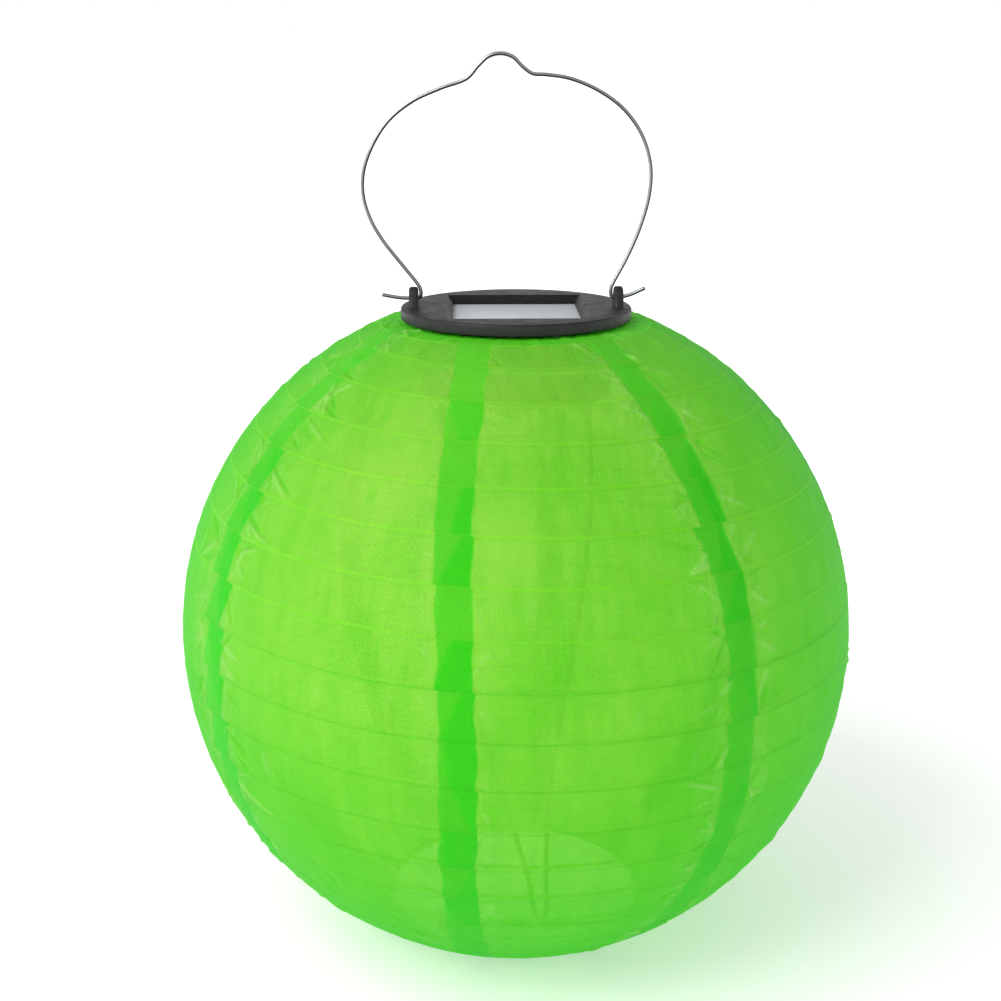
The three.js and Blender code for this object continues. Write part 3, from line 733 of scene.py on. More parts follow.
def seam_puckers(random, x, y, height, strength):
    """Creases that run out of a seam. x is measured from it, y down from the rib."""
    lift = np.zeros_like(x)
    for _ in range(int(random.integers(3, 7))):
        angle = math.radians(random.uniform(15, 65) * random.choice([-1, 1]))
        start = (random.uniform(3.5, 8), random.uniform(0.1, 0.9) * height)
        length = random.uniform(7, 19) * (0.5 + 0.5 * strength)
        lift += ridge(
            x, y, start, angle, length, random.uniform(0.4, 0.9),
            random.uniform(0.2, 0.55) * strength * random.choice([1, 1, -1]))
    return lift


def strip_puckers(random, x, y, width, height):
    """Soft upright creases between two turns of the rib."""
    lift = np.zeros_like(x)
    for _ in range(int(width / 9)):
        angle = math.radians(90 + random.uniform(-16, 16))
        start = (random.uniform(8, width - 8), random.uniform(-0.1, 0.4) * height)
        lift += ridge(
            x, y, start, angle, random.uniform(0.5, 1.0) * height, random.uniform(1.0, 2.8),
            random.uniform(0.08, 0.36) * random.choice([1, -1]))
    return lift


COLUMNS = 120
ROWS_PER_STRIP = 24
CROWDING = 0.085  # how far grid lines crowd towards the seams and the rib
STRIP_AT_TOP, STRIP_AT_FOOT = -2, 40  # for strips that do not begin at a turn of the rib
WIRE_LINE_WIDTH, WIRE_LINE_HEIGHT = 0.42, 0.13
BAND_EDGE_HIGHLIGHT_WIDTH = 0.4
PUCKER_REACH = 12
GATHER_HEIGHT = 0.09


def crowded(count):
    """0 to 1 in `count` steps, finer at both ends."""
    u = np.linspace(0, 1, count + 1)
    return u - CROWDING * np.sin(2 * np.pi * u)


def pushed_out(r, z, distance):
    """Moves points away from the globe's centre."""
    outward_z = z - GLOBE_CENTRE_Z
    size = np.hypot(r, outward_z)
    return r + distance * r / size, z + distance * outward_z / size


def around_axis(r, z, azimuth):
    return np.stack([r * np.sin(azimuth), -r * np.cos(azimuth), z], axis=2)


def cloth_object(name, grids, uvs):
    """Strips of cloth, one below the other, as one sheet."""
    points = np.concatenate(grids)
    obj = mesh_object(name, points.reshape(-1, 3), grid_faces(*points.shape[:2]))
    add_uv(obj, np.concatenate(uvs).reshape(-1, 2))
    return obj


def hem_gathers(gore, along, t, index):
    """How far the cloth stands out where its hem is gathered onto the top hoop."""
    around = np.radians(GORE_ANGLE) * (gore + along)
    gathers = np.sin(53 * around) + 0.7 * np.sin(31 * around + 2)
    gathers = gathers + 0.5 * np.sin(97 * around)
    fade_down = 1 - smooth_step(0, 1, t) if index == 1 else 1
    return GATHER_HEIGHT * gathers * fade_down


def wire_lines(rows, index, y, height):
    """1 where a strip's cloth lies over the rib or the top hoop's stitches, and 0 beside them."""
    lines = 0 * y
    for distance, row_index in ((y, index), (height - y, index + 1)):
        if rows[row_index][0] is not None or row_index == HEM_ROW:
            lines = lines + bell(distance, WIRE_LINE_WIDTH)
    return lines


def make_gore(gore):
    """One gore, with what its cloth shows painted on as attributes."""
    along = crowded(COLUMNS)[None, :]
    left_seam, right_seam = gore, (gore + 1) % GORE_COUNT
    rows = gore_rows(gore)
    grids, uvs = [], []
    paint = {"layers": [], "crease": [], "pucker": [], "over_wire": []}
    depth = 0.0
    for index, (upper, lower) in enumerate(zip(rows, rows[1:])):
        t = crowded(ROWS_PER_STRIP)[:, None]
        if index > 0:
            t = t[1:]
        (r0, z0), (r1, z1) = upper[1](along), lower[1](along)
        r, z = r0 + (r1 - r0) * t, z0 + (z1 - z0) * t
        height = float(np.hypot(r1 - r0, z1 - z0).mean())
        start_azimuth = seam_azimuth(gore, r, z)
        end_azimuth = seam_azimuth(gore + 1, r, z)
        width = (end_azimuth - start_azimuth) * r
        x_left, x_right = along * width, (1 - along) * width
        y = t * height + 0 * along
        strip = upper[0]
        if strip is None:
            strip = STRIP_AT_TOP if index <= HEM_ROW else STRIP_AT_FOOT
        right_strip = strip + (1 if gore == GORE_COUNT - 1 else 0)
        random = np.random.default_rng(7000 + 100 * gore + index)
        free = smooth_step(0, 0.13, t) * smooth_step(0, 0.13, 1 - t)
        seam_hold = smooth_step(0, 14, np.minimum(x_left, x_right))
        lift = 4 * t * (1 - t) * (0.34 - 0.08 * seam_hold) * (height / 16)
        puckers = seam_puckers(random, x_left, y, height, SEAM_PUCKER[left_seam])
        puckers += seam_puckers(random, x_right, y, height, SEAM_PUCKER[right_seam])
        creases = strip_puckers(random, x_left, y, float(width.mean()), height)
        lift = lift + (puckers + creases) * free
        over_wire = wire_lines(rows, index, y, height)
        lift = lift + WIRE_LINE_HEIGHT * over_wire
        if index <= HEM_ROW:
            lift = lift + hem_gathers(gore, along, t, index)
        r, z = pushed_out(r, z, lift)
        grids.append(around_axis(r, z, start_azimuth + (end_azimuth - start_azimuth) * along))
        uvs.append(np.stack([(along - 0.5) * width, -(depth + y)], axis=2) * MM)
        left_edges = band_edges(left_seam, strip, t)
        right_edges = band_edges(right_seam, right_strip, t)
        layer = layer_count(x_left, left_edges, fold_line(left_seam, strip, t))
        layer = layer + layer_count(-x_right, right_edges, fold_line(right_seam, right_strip, t))
        hem = 1 if index == 0 else 0
        paint["layers"].append(np.maximum(layer, hem))
        # Painted shade: a dark line just under the rib above the middle, and over the wire below
        # it, carried in the crease attribute.
        upper_share = smooth_step(GLOBE_CENTRE_Z - 45, GLOBE_CENTRE_Z + 30, z)
        below_wire = bell(y - 1.1, 0.6) if upper[0] is not None else 0
        wire_shade = 0.13 * below_wire * upper_share + 0.22 * over_wire * (1 - upper_share)
        paint["crease"].append((puckers + 0.55 * creases) * free - wire_shade)
        # A thin line along the seam band's edge takes the rib line's paint: a painted highlight
        # above the middle, painted shade below it.
        band_edge_highlight = bell(x_left - left_edges[1], BAND_EDGE_HIGHLIGHT_WIDTH)
        beside_seam = SEAM_PUCKER[left_seam] * bell(x_left, PUCKER_REACH)
        beside_seam = beside_seam + SEAM_PUCKER[right_seam] * bell(x_right, PUCKER_REACH)
        paint["pucker"].append(beside_seam * (1 - 0.85 * np.clip(layer, 0, 1)))
        line = np.clip(over_wire * (1 - 0.6 * np.clip(layer, 0, 1)), 0, 1)
        paint["over_wire"].append((0.34 + 0.14 * upper_share) * line + 0.22 * band_edge_highlight)
        depth += height
    cloth = cloth_object(f"gore_cloth_{gore + 1}", grids, uvs)
    for name, values in paint.items():
        add_attribute(cloth, name, np.concatenate(values))
    return finished(cloth, FABRIC, "shade", f"shade_gore_{gore + 1}")


GORES = [make_gore(gore) for gore in range(GORE_COUNT)]


def make_band(seam):
    """The doubled cloth inside a seam, with edges that wander from strip to strip."""
    rows = gore_rows(seam)
    grids, uvs = [], []
    across = np.linspace(0, 1, 9)[None, :]
    depth = 0.0
    for index, (upper, lower) in enumerate(zip(rows, rows[1:])):
        if index in (0, len(rows) - 2):
            continue
        t = np.linspace(0, 1, 11)[:, None]
        strip = upper[0] if upper[0] is not None else STRIP_AT_TOP
        left, right = band_edges(seam, strip, t)
        offset = left + (right - left) * across
        (r0, z0), (r1, z1) = upper[1](0.0), lower[1](0.0)
        r, z = r0 + (r1 - r0) * t + 0 * across, z0 + (z1 - z0) * t + 0 * across
        height = math.hypot(r1 - r0, z1 - z0)
        # It lies under the gores, and sags between the turns of the rib.
        inset = 0.75 + 0.55 * 4 * t * (1 - t) * 0.6 + 0.12 * np.sin(5 * across + 9 * t)
        azimuth = seam_azimuth(seam, r, z) + offset / r
        grids.append(around_axis(*pushed_out(r, z, -inset), azimuth))
        uvs.append(np.stack([offset, -(depth + t * height) + 0 * offset], axis=2) * MM)
        depth += height
    band = cloth_object(f"seam_cloth_{seam + 1}", grids, uvs)
    add_attribute(band, "layers", np.zeros(len(band.data.vertices)))
    return finished(band, SEAM_CLOTH, "shade", f"seam_band_{seam + 1}")


BANDS = [make_band(seam) for seam in range(GORE_COUNT)]


def make_rib():
    steps_per_gore = 12
    path = []
    for step in range((RIB_LAST_GORE - RIB_FIRST_GORE) * steps_per_gore + 1):
        gores = RIB_FIRST_GORE + step / steps_per_gore
        r, z = globe_point(rib_latitude(gores), RIB_INSET)
        azimuth = math.radians(FIRST_SEAM_AZIMUTH + GORE_ANGLE * gores)
        path.append((r * math.sin(azimuth), -r * math.cos(azimuth), z))
    rib = tube("rib_spring", path, RIB_WIRE_RADIUS, sides=8)
    return finished(rib, RIB_METAL, "shade", "spiral_rib")


RIB = make_rib()

# -------- head

CAP_PLATE = 2.4
CAP_SIDE_WALL = 4.1
RECESS_WIDTH = 46
RECESS_LENGTH = 52
RECESS_CHAMFER = 2
EAR_X = 37
EAR_THICKNESS = 3.4
EAR_WIDTH = 11
HINGE_HEIGHT = 2.9
EAR_HOLE_RADIUS = 1.1


def prism(name, low, z0, high, z1):
    """A four-sided prism between two rectangles (x0, x1, y0, y1), one over the other."""
    points = []
    for (x0, x1, y0, y1), z in ((low, z0), (high, z1)):
        points += [(x0, y0, z), (x1, y0, z), (x1, y1, z), (x0, y1, z)]
    return mesh_object(name, points, prism_faces(4), smooth=False)


def make_ear(x):
    """An ear: a plate with a round top, standing across the hinge line."""
    round_radius = EAR_HEIGHT / 2
    outline = [(-EAR_WIDTH / 2, -1.2), (EAR_WIDTH / 2, -1.2), (EAR_WIDTH / 2, 0)]
    outline += arc((0, EAR_HEIGHT - round_radius), round_radius, 0, 180, 20)
    outline.append((-EAR_WIDTH / 2, 0))
    points = []
    for side in (-1, 1):
        points += [(x + side * EAR_THICKNESS / 2, y, CAP_TOP_Z + z) for y, z in outline]
    ear = mesh_object("ear", points, prism_faces(len(outline)))
    round_edges(ear, 0.95, 4)
    hole = post("hole", EAR_HOLE_RADIUS, -4, 4, segments=32)
    turn_mesh(hole, (0, math.pi / 2, 0))
    shift_mesh(hole, (x, 0, CAP_TOP_Z + HINGE_HEIGHT))
    return combine(ear, [hole], "DIFFERENCE")


def make_cap():
    rim_bottom = CAP_TOP_Z - CAP_SIDE_WALL
    plate_bottom = CAP_TOP_Z - CAP_PLATE
    rim_inside = 39.9
    profile = [(0, plate_bottom), (rim_inside, plate_bottom), (rim_inside, rim_bottom + 0.3)]
    profile += [(rim_inside + 0.3, rim_bottom), (CAP_RADIUS - 0.35, rim_bottom)]
    profile += arc((CAP_RADIUS - 0.35, rim_bottom + 0.35), 0.35, -60, 0, 3)
    profile += arc((CAP_RADIUS - 0.8, CAP_TOP_Z - 0.8), 0.8, 0, 90, 8)
    profile += [(0, CAP_TOP_Z)]
    cap = turned("cap_shell", profile, 192, sharp=30)
    half_x, half_y = RECESS_WIDTH / 2, RECESS_LENGTH / 2
    pocket_z = CAP_TOP_Z - 3.3
    pocket_half = (48.6 + 0.6) / 2, (54.6 + 0.6) / 2
    frame_wall = 1.8
    frame_half = 24.3 + frame_wall, 27.3 + frame_wall
    panel_frame = centred_block(
        "panel_frame", 0, 0, *frame_half, CAP_TOP_Z - 4.5, plate_bottom + 1, 0)
    over = 0.5
    grow = RECESS_CHAMFER + over
    cuts = [
        centred_block("pocket", 0, 0, *pocket_half, CAP_TOP_Z - 6, pocket_z, 0),
        centred_block("window", 0, 0, half_x, half_y, CAP_TOP_Z - 5, CAP_TOP_Z + 1, 0),
        prism("chamfer", (-half_x, half_x, -half_y, half_y), CAP_TOP_Z - RECESS_CHAMFER,
              (-half_x - grow, half_x + grow, -half_y - grow, half_y + 0.01), CAP_TOP_Z + over),
    ]
    combine(cap, [panel_frame, make_ear(-EAR_X), make_ear(EAR_X)], "UNION")
    combine(cap, cuts, "DIFFERENCE")
    tabs = []
    for tab in range(6):
        finger = block("tab", (-2, -41.2, rim_bottom - 0.5), (2, -40.4, plate_bottom + 0.5), 0.2)
        turn_mesh(finger, (0, 0, math.radians((tab + 0.3) / 6 * 360)))
        tabs.append(finger)
    combine(cap, tabs, "UNION")
    mark_sharp(cap, 30)
    finished(cap, CAP_PLASTIC, "head", "cap_cover")


make_cap()

# -------- wires

SPREADER_ROUTE = [
    (-27, -4, 203), (-27, 2.6, 203), (-27.4, 4.8, 201), (-27.6, 4.6, 191), (-28, -2, 160),
    (-24.5, -11, 118), (-8, -23, 62), (4, -28.6, 22), (7, -30.5, 7), (9, -33.4, 4.2),
    (11, -30.5, 7), (11, -28.6, 26), (13, -24, 62), (23, -12, 118), (28, -2, 160), (27.6, 4.6, 191),
    (27.4, 4.8, 201), (27, 2.6, 203), (27, -4, 203),
]

# Distance along X and height above the cap's top face.
BAIL_ROUTE = [
    (-48.3, 4.2), (-42, 3.1), (-37, 2.9), (-35.2, 3.0), (-34.4, 3.9), (-34.5, 6.4),
    (-35.5, 8.2), (-40.9, 15.2), (-47.5, 24), (-51.6, 31.8), (-53.6, 40), (-53.0, 48),
    (-49.4, 57), (-43.6, 65.2), (-35, 71.8), (-25, 76.2), (-15.6, 79.6), (-11.6, 83.8),
    (-7.8, 87), (-3.6, 87.9), (0.4, 86.8), (4, 83.4), (7.2, 81.2), (12, 80.8), (20, 79.6),
    (30, 75.6), (39, 69.2), (45.4, 60.4), (48.5, 50), (48.2, 40), (45, 28.4), (40, 17),
    (35.4, 8.6), (34.4, 6.4), (34.4, 3.9), (35.2, 3.0), (37, 2.9), (41, 3.8), (46.6, 6.2),
]


def make_wire(name, path, radius, body, node):
    finished(tube(name, path, radius), WIRE, body, node)


BAIL_LEAN = 0.022  # to the left, for each mm of height
bail_path = catmull_rom([
    (x - BAIL_LEAN * max(0, height - HINGE_HEIGHT), 0, CAP_TOP_Z + height)
    for x, height in BAIL_ROUTE], 14)
make_wire("bail", bail_path, 0.68, "handle", "handle_wire")
make_wire("spreader", catmull_rom(SPREADER_ROUTE, 14), 1.0, "head", "spreader_wire")
cross_low, cross_high = cad_box("cross_wire")
cross_y, cross_z = (cross_low.y + cross_high.y) / 2, (cross_low.z + cross_high.z) / 2
cross_path = [
    (cross_low.x + (cross_high.x - cross_low.x) * i / 20, cross_y, cross_z) for i in range(21)]
make_wire("cross_bar", cross_path, 0.8, "shade", "cross_wire")

# -------- hems


HEM_GIRTH = 0.0094  # round the hem's section, in metres


def make_hem(name, radius, z, body, node):
    """Cloth sewn round a wire hoop, gathered a little all the way round."""
    segments, sides = 240, 16
    rings = []
    for i in range(segments):
        angle = 2 * math.pi * i / segments
        gather = 0.09 * math.sin(37 * angle) + 0.07 * math.sin(61 * angle + 1)
        ring = []
        for j in range(sides):
            turn = 2 * math.pi * j / sides
            tube_radius = HOOP_TUBE_RADIUS - 0.12 + gather * (1 + math.sin(turn)) / 2
            r = radius + tube_radius * math.cos(turn)
            height = z + tube_radius * math.sin(turn)
            ring.append((r * math.cos(angle), r * math.sin(angle), height))
        rings.append(ring)
    points = np.array(rings).reshape(-1, 3)
    faces = []
    for i in range(segments):
        for j in range(sides):
            right, up = (i + 1) % segments, (j + 1) % sides
            faces.append((i * sides + j, right * sides + j, right * sides + up, i * sides + up))
    hem = mesh_object(name, points, faces)
    uv = [(i / segments * 2 * math.pi * radius * MM, j / sides * HEM_GIRTH)
          for i in range(segments) for j in range(sides)]
    add_uv(hem, uv)
    add_attribute(hem, "layers", np.zeros(len(points)))
    return finished(hem, SEAM_CLOTH, body, node)


TOP_HEM = make_hem("top_hem", TOP_HOOP_RADIUS, TOP_HOOP_Z, "top_ring", "top_hoop")
BOTTOM_HEM = make_hem("bottom_hem", BOTTOM_HOOP_RADIUS, HOOP_TUBE_RADIUS, "shade", "bottom_hoop")

# -------- materials inside the head


def glaze_material():
    """The panel's potted face: clear from above, and painted paler along its surface, a painted
    reflection of the bright surroundings.
    """
    s = Shader("panel_glaze")
    facing = s.node("LayerWeight", {"Blend": 0.5}).outputs["Facing"]
    grazing = s.ramp(facing, 0.45, 0.84, 0.12, 0.97)
    rough = s.mottle(60, 3.0, 0.04, 0.09)
    clear = s.principled(
        Base_Color=(0.86, 0.90, 0.95), Roughness=rough, IOR=1.5, Transmission_Weight=1.0)
    # Painted reflection: seen edge-on, the face turns a pale diffuse colour that stands in for the
    # light it reflects.
    painted_highlight = s.mix(s.mottle(35, 2.0), (0.60, 0.625, 0.645), (0.63, 0.655, 0.675))
    painted_reflection = s.principled(Base_Color=painted_highlight, Roughness=0.5, Specular_IOR_Level=0.2)
    return s.finish(s.blend(grazing, clear, painted_reflection))


def cell_material():
    """Dark blue silicon with fine silver fingers across it."""
    s = Shader("solar_cell")
    finger_spacing = 0.0016
    wave = s.math("SINE", s.times(s.split(s.position())[1], 2 * math.pi / finger_spacing))
    line = s.ramp(wave, 0.93, 0.98)
    crystal = s.ramp(s.noise(220, 2.0), 0.4, 0.6)
    blue = s.mix(crystal, (0.012, 0.020, 0.055), (0.022, 0.034, 0.085))
    return s.finish(s.principled(
        Base_Color=s.mix(line, blue, (0.45, 0.46, 0.48)), Roughness=0.25, Coat_Weight=0.5))


def lens_material(name, colour, roughness, through):
    """Milky or clear moulded plastic that light soaks through."""
    s = Shader(name)
    rough = s.mottle(300, 3.0, roughness - 0.03, roughness + 0.05)
    normal = s.bump(s.noise(900, 2.0), 0.1, 0.0002)
    tint = s.mix(s.mottle(80, 3.0), tuple(0.93 * c for c in colour), colour)
    surface = s.principled(Base_Color=tint, Roughness=rough, Normal=normal)
    glow = s.node("BsdfTranslucent", {"Color": tint, "Normal": normal}).outputs[0]
    return s.finish(s.blend(through, surface, glow))


def cell_sleeve_material():
    """A battery's shrink sleeve, with bare nickel where the `metal` attribute is 1."""
    s = Shader("battery_sleeve")
    metal = s.attribute("metal")
    sleeve = s.mix(s.mottle(90, 3.0), (0.04, 0.13, 0.36), (0.055, 0.17, 0.44))
    tint = s.mix(metal, sleeve, (0.68, 0.67, 0.63))
    rough = s.mottle(500, 3.0, 0.24, 0.36)
    normal = s.bump(s.noise(160, 3.0), 0.12, 0.0003)
    return s.finish(s.principled(Base_Color=tint, Metallic=metal, Roughness=rough, Normal=normal))


GLAZE = glaze_material()
CELL = cell_material()
BOARD_GREEN = plastic_material("circuit_board", (0.012, 0.095, 0.035), 0.4, 0.1, 600)
FOAM = plastic_material("foam", (0.012, 0.012, 0.012), 0.9, 0.8, 900, 0.1)
SLEEVE = cell_sleeve_material()
CONTACT = metal_material("nickel_contact", (0.72, 0.70, 0.64), 0.2)
SCREW_STEEL = metal_material("screw_steel", (0.60, 0.60, 0.60), 0.3)
TINPLATE = metal_material("tinplate", (0.62, 0.63, 0.63), 0.35)
CHIP = plastic_material("chip_plastic", (0.010, 0.010, 0.011), 0.45, 0.3, 2500)
LACQUER = plastic_material("coil_lacquer", (0.03, 0.17, 0.08), 0.35, 0.6, 1800)
LED_RESIN = lens_material("led_resin", (0.88, 0.87, 0.76), 0.12, 0.35)
LENS = lens_material("frosted_lens", (0.84, 0.87, 0.86), 0.38, 0.4)
RED_LEAD = plastic_material("red_lead", (0.50, 0.02, 0.015), 0.4, 0.1, 900, 0.5)
BLACK_LEAD = plastic_material("black_lead", (0.010, 0.010, 0.011), 0.4, 0.1, 900, 0.5)

# -------- housing, door and switch

HOUSING_TOP_RADIUS = 36.5
HOUSING_BOTTOM_RADIUS = 34.5
HOUSING_WALL = 1.8
HOUSING_TOP_Z = CAP_TOP_Z - 5.9
HOUSING_INSIDE_Z = HOUSING_FLOOR_Z + HOUSING_WALL
BOSS_TOP_Z = CAP_TOP_Z - 12.7
SCREW_PLACES = [(x, y) for x in (-29, 29) for y in (-9, 9)]
BATTERY_Y, BATTERY_Z = -15, HOUSING_FLOOR_Z + 7.7
HATCH = (46, 12.4)
DOOR_SCREW_Y = -5
LIGHT_Y = 7
SWITCH_PLACE = (18, 9)
SWITCH_TRAVEL = 2.4
SLOT_SIZE = (SWITCH_TRAVEL + 3.2, 2.8)
LUG_X = 27


def make_lug(x):
    """A lug under the housing's floor, with a hole along Y for the spreader."""
    bottom = HOUSING_FLOOR_Z - 5
    outline = [(x - 2.5, HOUSING_FLOOR_Z + 0.5), (x - 2.5, bottom + 1.6)]
    outline += arc((x - 0.9, bottom + 1.6), 1.6, 180, 270, 8)
    outline += arc((x + 0.9, bottom + 1.6), 1.6, 270, 360, 8)
    outline.append((x + 2.5, HOUSING_FLOOR_Z + 0.5))
    lug = extruded("lug", outline, -2, 2, 0.3)
    hole = post("lug_hole", 1.4, -4, 4, x, HOUSING_FLOOR_Z - 2.5, 32)
    combine(lug, [hole], "DIFFERENCE")
    # The outline stands up: its second axis becomes height.
    turn_mesh(lug, (math.pi / 2, 0, 0))
    return lug


def make_housing():
    floor, inside = HOUSING_FLOOR_Z, HOUSING_INSIDE_Z
    low, high = HOUSING_BOTTOM_RADIUS, HOUSING_TOP_RADIUS
    lip_z, lip = HOUSING_TOP_Z - 2.6, 0.35
    profile = [(0, floor), (low - 4.6, floor), (low - 4.3, floor + 0.35), (low - 3.4, floor + 0.35)]
    profile += [(low - 3.1, floor)]
    profile += arc((low - 1.3, floor + 1.3), 1.3, -90, -4, 8)
    profile += [(high - lip - 0.25, lip_z), (high - 0.2, lip_z + 0.35), (high, HOUSING_TOP_Z - 0.3)]
    profile += [(high - 0.3, HOUSING_TOP_Z), (high - HOUSING_WALL, HOUSING_TOP_Z)]
    profile += [(low - HOUSING_WALL, inside + 0.8), (low - HOUSING_WALL - 0.8, inside), (0, inside)]
    shell = turned("housing_shell", profile, 144, sharp=30)
    sunk = inside - 0.5
    added = [post("boss", 3.6, sunk, BOSS_TOP_Z, x, y) for x, y in SCREW_PLACES]
    added += [post("board_post", 2, sunk, BOSS_TOP_Z - 1.8, x, 23) for x in (-13, 13)]
    added += [
        centred_block("cradle", x, BATTERY_Y, 0.6, 4.5, sunk, BATTERY_Z + 5, 0.2)
        for x in (-26, 24.6)]
    added.append(post("door_boss", 2.4, sunk, inside + 4.2, 0, DOOR_SCREW_Y))
    added += [make_lug(x) for x in (-LUG_X, LUG_X)]
    # A raised ring locates the lens, and raised bars stiffen the floor's back.
    ring = [(8.1, floor + 0.3), (8.1, floor - 0.35), (8.3, floor - 0.5), (9.1, floor - 0.5)]
    ring += [(9.3, floor - 0.35), (9.3, floor + 0.3)]
    added.append(turned("lens_ring", ring, 96, (0, LIGHT_Y)))
    for x in (-12, -6, 0, 6, 12):
        added.append(centred_block("floor_bar", x, 24, 0.5, 4, floor - 0.45, floor + 0.3, 0.2))
    combine(shell, added, "UNION")
    cuts = [post("counterbore", 2.4, floor - 1, BOSS_TOP_Z - 2.5, x, y) for x, y in SCREW_PLACES]
    cuts += [post("pilot", 1.2, BOSS_TOP_Z - 3, BOSS_TOP_Z + 1, x, y) for x, y in SCREW_PLACES]
    cuts.append(post("door_pilot", 1.2, floor - 1, inside + 3.4, 0, DOOR_SCREW_Y))
    cuts.append(post("light_hole", 3.3, floor - 1, inside + 1, 0, LIGHT_Y, 64))
    surround = (SLOT_SIZE[0] + 4.4, SLOT_SIZE[1] + 3.6)
    cuts += [
        rounded_slab("hatch", HATCH, 0.8, (0, BATTERY_Y), floor - 1, inside + 1, 0),
        rounded_slab("slot", SLOT_SIZE, 0.4, SWITCH_PLACE, floor - 1, inside + 1, 0),
        rounded_slab("surround", surround, 1.2, SWITCH_PLACE, floor - 1, floor + 0.5, 0),
    ]
    combine(shell, cuts, "DIFFERENCE")
    mark_sharp(shell, 30)
    return finished(shell, HOUSING_PLASTIC, "head", "battery_housing")


def make_screw(
        name, head_radius, shank_radius, head_bottom, head_height, length, place, body, node):
    """A pan-head screw from below: its head with a cross, and a threaded shank going up."""
    profile = [(0, head_bottom)]
    corner = 0.45 * head_height
    profile += arc((head_radius - corner, head_bottom + corner), corner, -90, 0, 6)
    shoulder = head_bottom + head_height
    profile += [(head_radius, shoulder), (shank_radius * 0.8, shoulder)]
    pitch = 0.7
    threads = int((length - 0.8) / pitch)
    for thread in range(threads):
        z = shoulder + 0.2 + thread * pitch
        profile += [(shank_radius * 0.8, z), (shank_radius, z + 0.25 * pitch)]
        profile += [(shank_radius * 0.8, z + 0.5 * pitch)]
    profile += [(shank_radius * 0.6, shoulder + length - 0.3), (0, shoulder + length)]
    screw = turned(name, profile, 32, place)
    x, y = place
    arm, half = 0.65 * head_radius, 0.24
    cross = [
        centred_block("cross", x, y, reach_x, reach_y, head_bottom - 1, head_bottom + 0.6, 0.1)
        for reach_x, reach_y in ((arm, half), (half, arm))]
    combine(screw, cross, "DIFFERENCE")
    mark_sharp(screw, 30)
    return finished(screw, SCREW_STEEL, body, node)


def make_door():
    """The battery door: a plate over the hatch, a plug that fills it and a tongue for a screw."""
    top = HOUSING_FLOOR_Z - 0.3
    bottom = top - 1.4
    plate = (HATCH[0] + 3, HATCH[1] + 2.6)
    door = rounded_slab("battery_door_plate", plate, 1.8, (0, BATTERY_Y), bottom, top, 0.35)
    plug, plug_top = (HATCH[0] - 0.8, HATCH[1] - 0.8), HOUSING_INSIDE_Z - 0.3
    added = [
        rounded_slab("plug", plug, 0.6, (0, BATTERY_Y), bottom + 0.5, plug_top, 0.2),
        rounded_slab("tongue", (7, 8), 2, (0, DOOR_SCREW_Y - 1.4), bottom, top, 0.3),
    ]
    grip_count, grip_pitch = 6, 1.5
    for grip in range(grip_count):
        x = 14 + (grip - (grip_count - 1) / 2) * grip_pitch
        added.append(centred_block("grip", x, BATTERY_Y, 0.3, 4, bottom - 0.3, bottom + 0.3, 0.12))
    combine(door, added, "UNION")
    hole = post("door_hole", 1.2, bottom - 1, top + 1, 0, DOOR_SCREW_Y, 32)
    dish = post("door_dish", 2.4, bottom - 1, bottom + 0.25, 0, DOOR_SCREW_Y, 48)
    combine(door, [hole, dish], "DIFFERENCE")
    mark_sharp(door, 30)
    return finished(door, HOUSING_PLASTIC, "battery_door", "battery_door")


def make_switch():
    x, y = SWITCH_PLACE
    inside = HOUSING_INSIDE_Z
    body = rounded_slab(
        "switch_case", (8.6, 4.6), 0.3, SWITCH_PLACE, inside + 0.3, inside + 4.8, 0.2)
    mouth = rounded_slab("mouth", SLOT_SIZE, 0.2, SWITCH_PLACE, inside, inside + 2.6, 0)
    combine(body, [mouth], "DIFFERENCE")
    finished(body, TINPLATE, "head", "switch_body")
    slider_x = x - SWITCH_TRAVEL / 2
    bottom = HOUSING_FLOOR_Z - 2
    slider = centred_block(
        "switch_knob", slider_x, y, 1.2, 1, bottom, inside + 2.2, 0.2, segments=3)
    grooves = [
        centred_block("groove", slider_x + step, y, 0.16, 1.5, bottom - 0.5, bottom + 0.3, 0)
        for step in (-0.65, 0, 0.65)]
    combine(slider, grooves, "DIFFERENCE")
    finished(slider, HOUSING_PLASTIC, "switch_slider", "switch_slider")


make_housing()
make_door()
make_switch()
for number, place in enumerate(SCREW_PLACES, 1):
    make_screw(
        f"case_screw_{number}", 2.05, 0.9, BOSS_TOP_Z - 4.2, 1.4, 8, place, "head",
        f"housing_screw_{number}")
make_screw(
    "door_screw", 1.8, 0.75, HOUSING_FLOOR_Z - 3.2, 1.2, 5, (0, DOOR_SCREW_Y), "battery_door",
    "battery_door_screw")

# -------- light


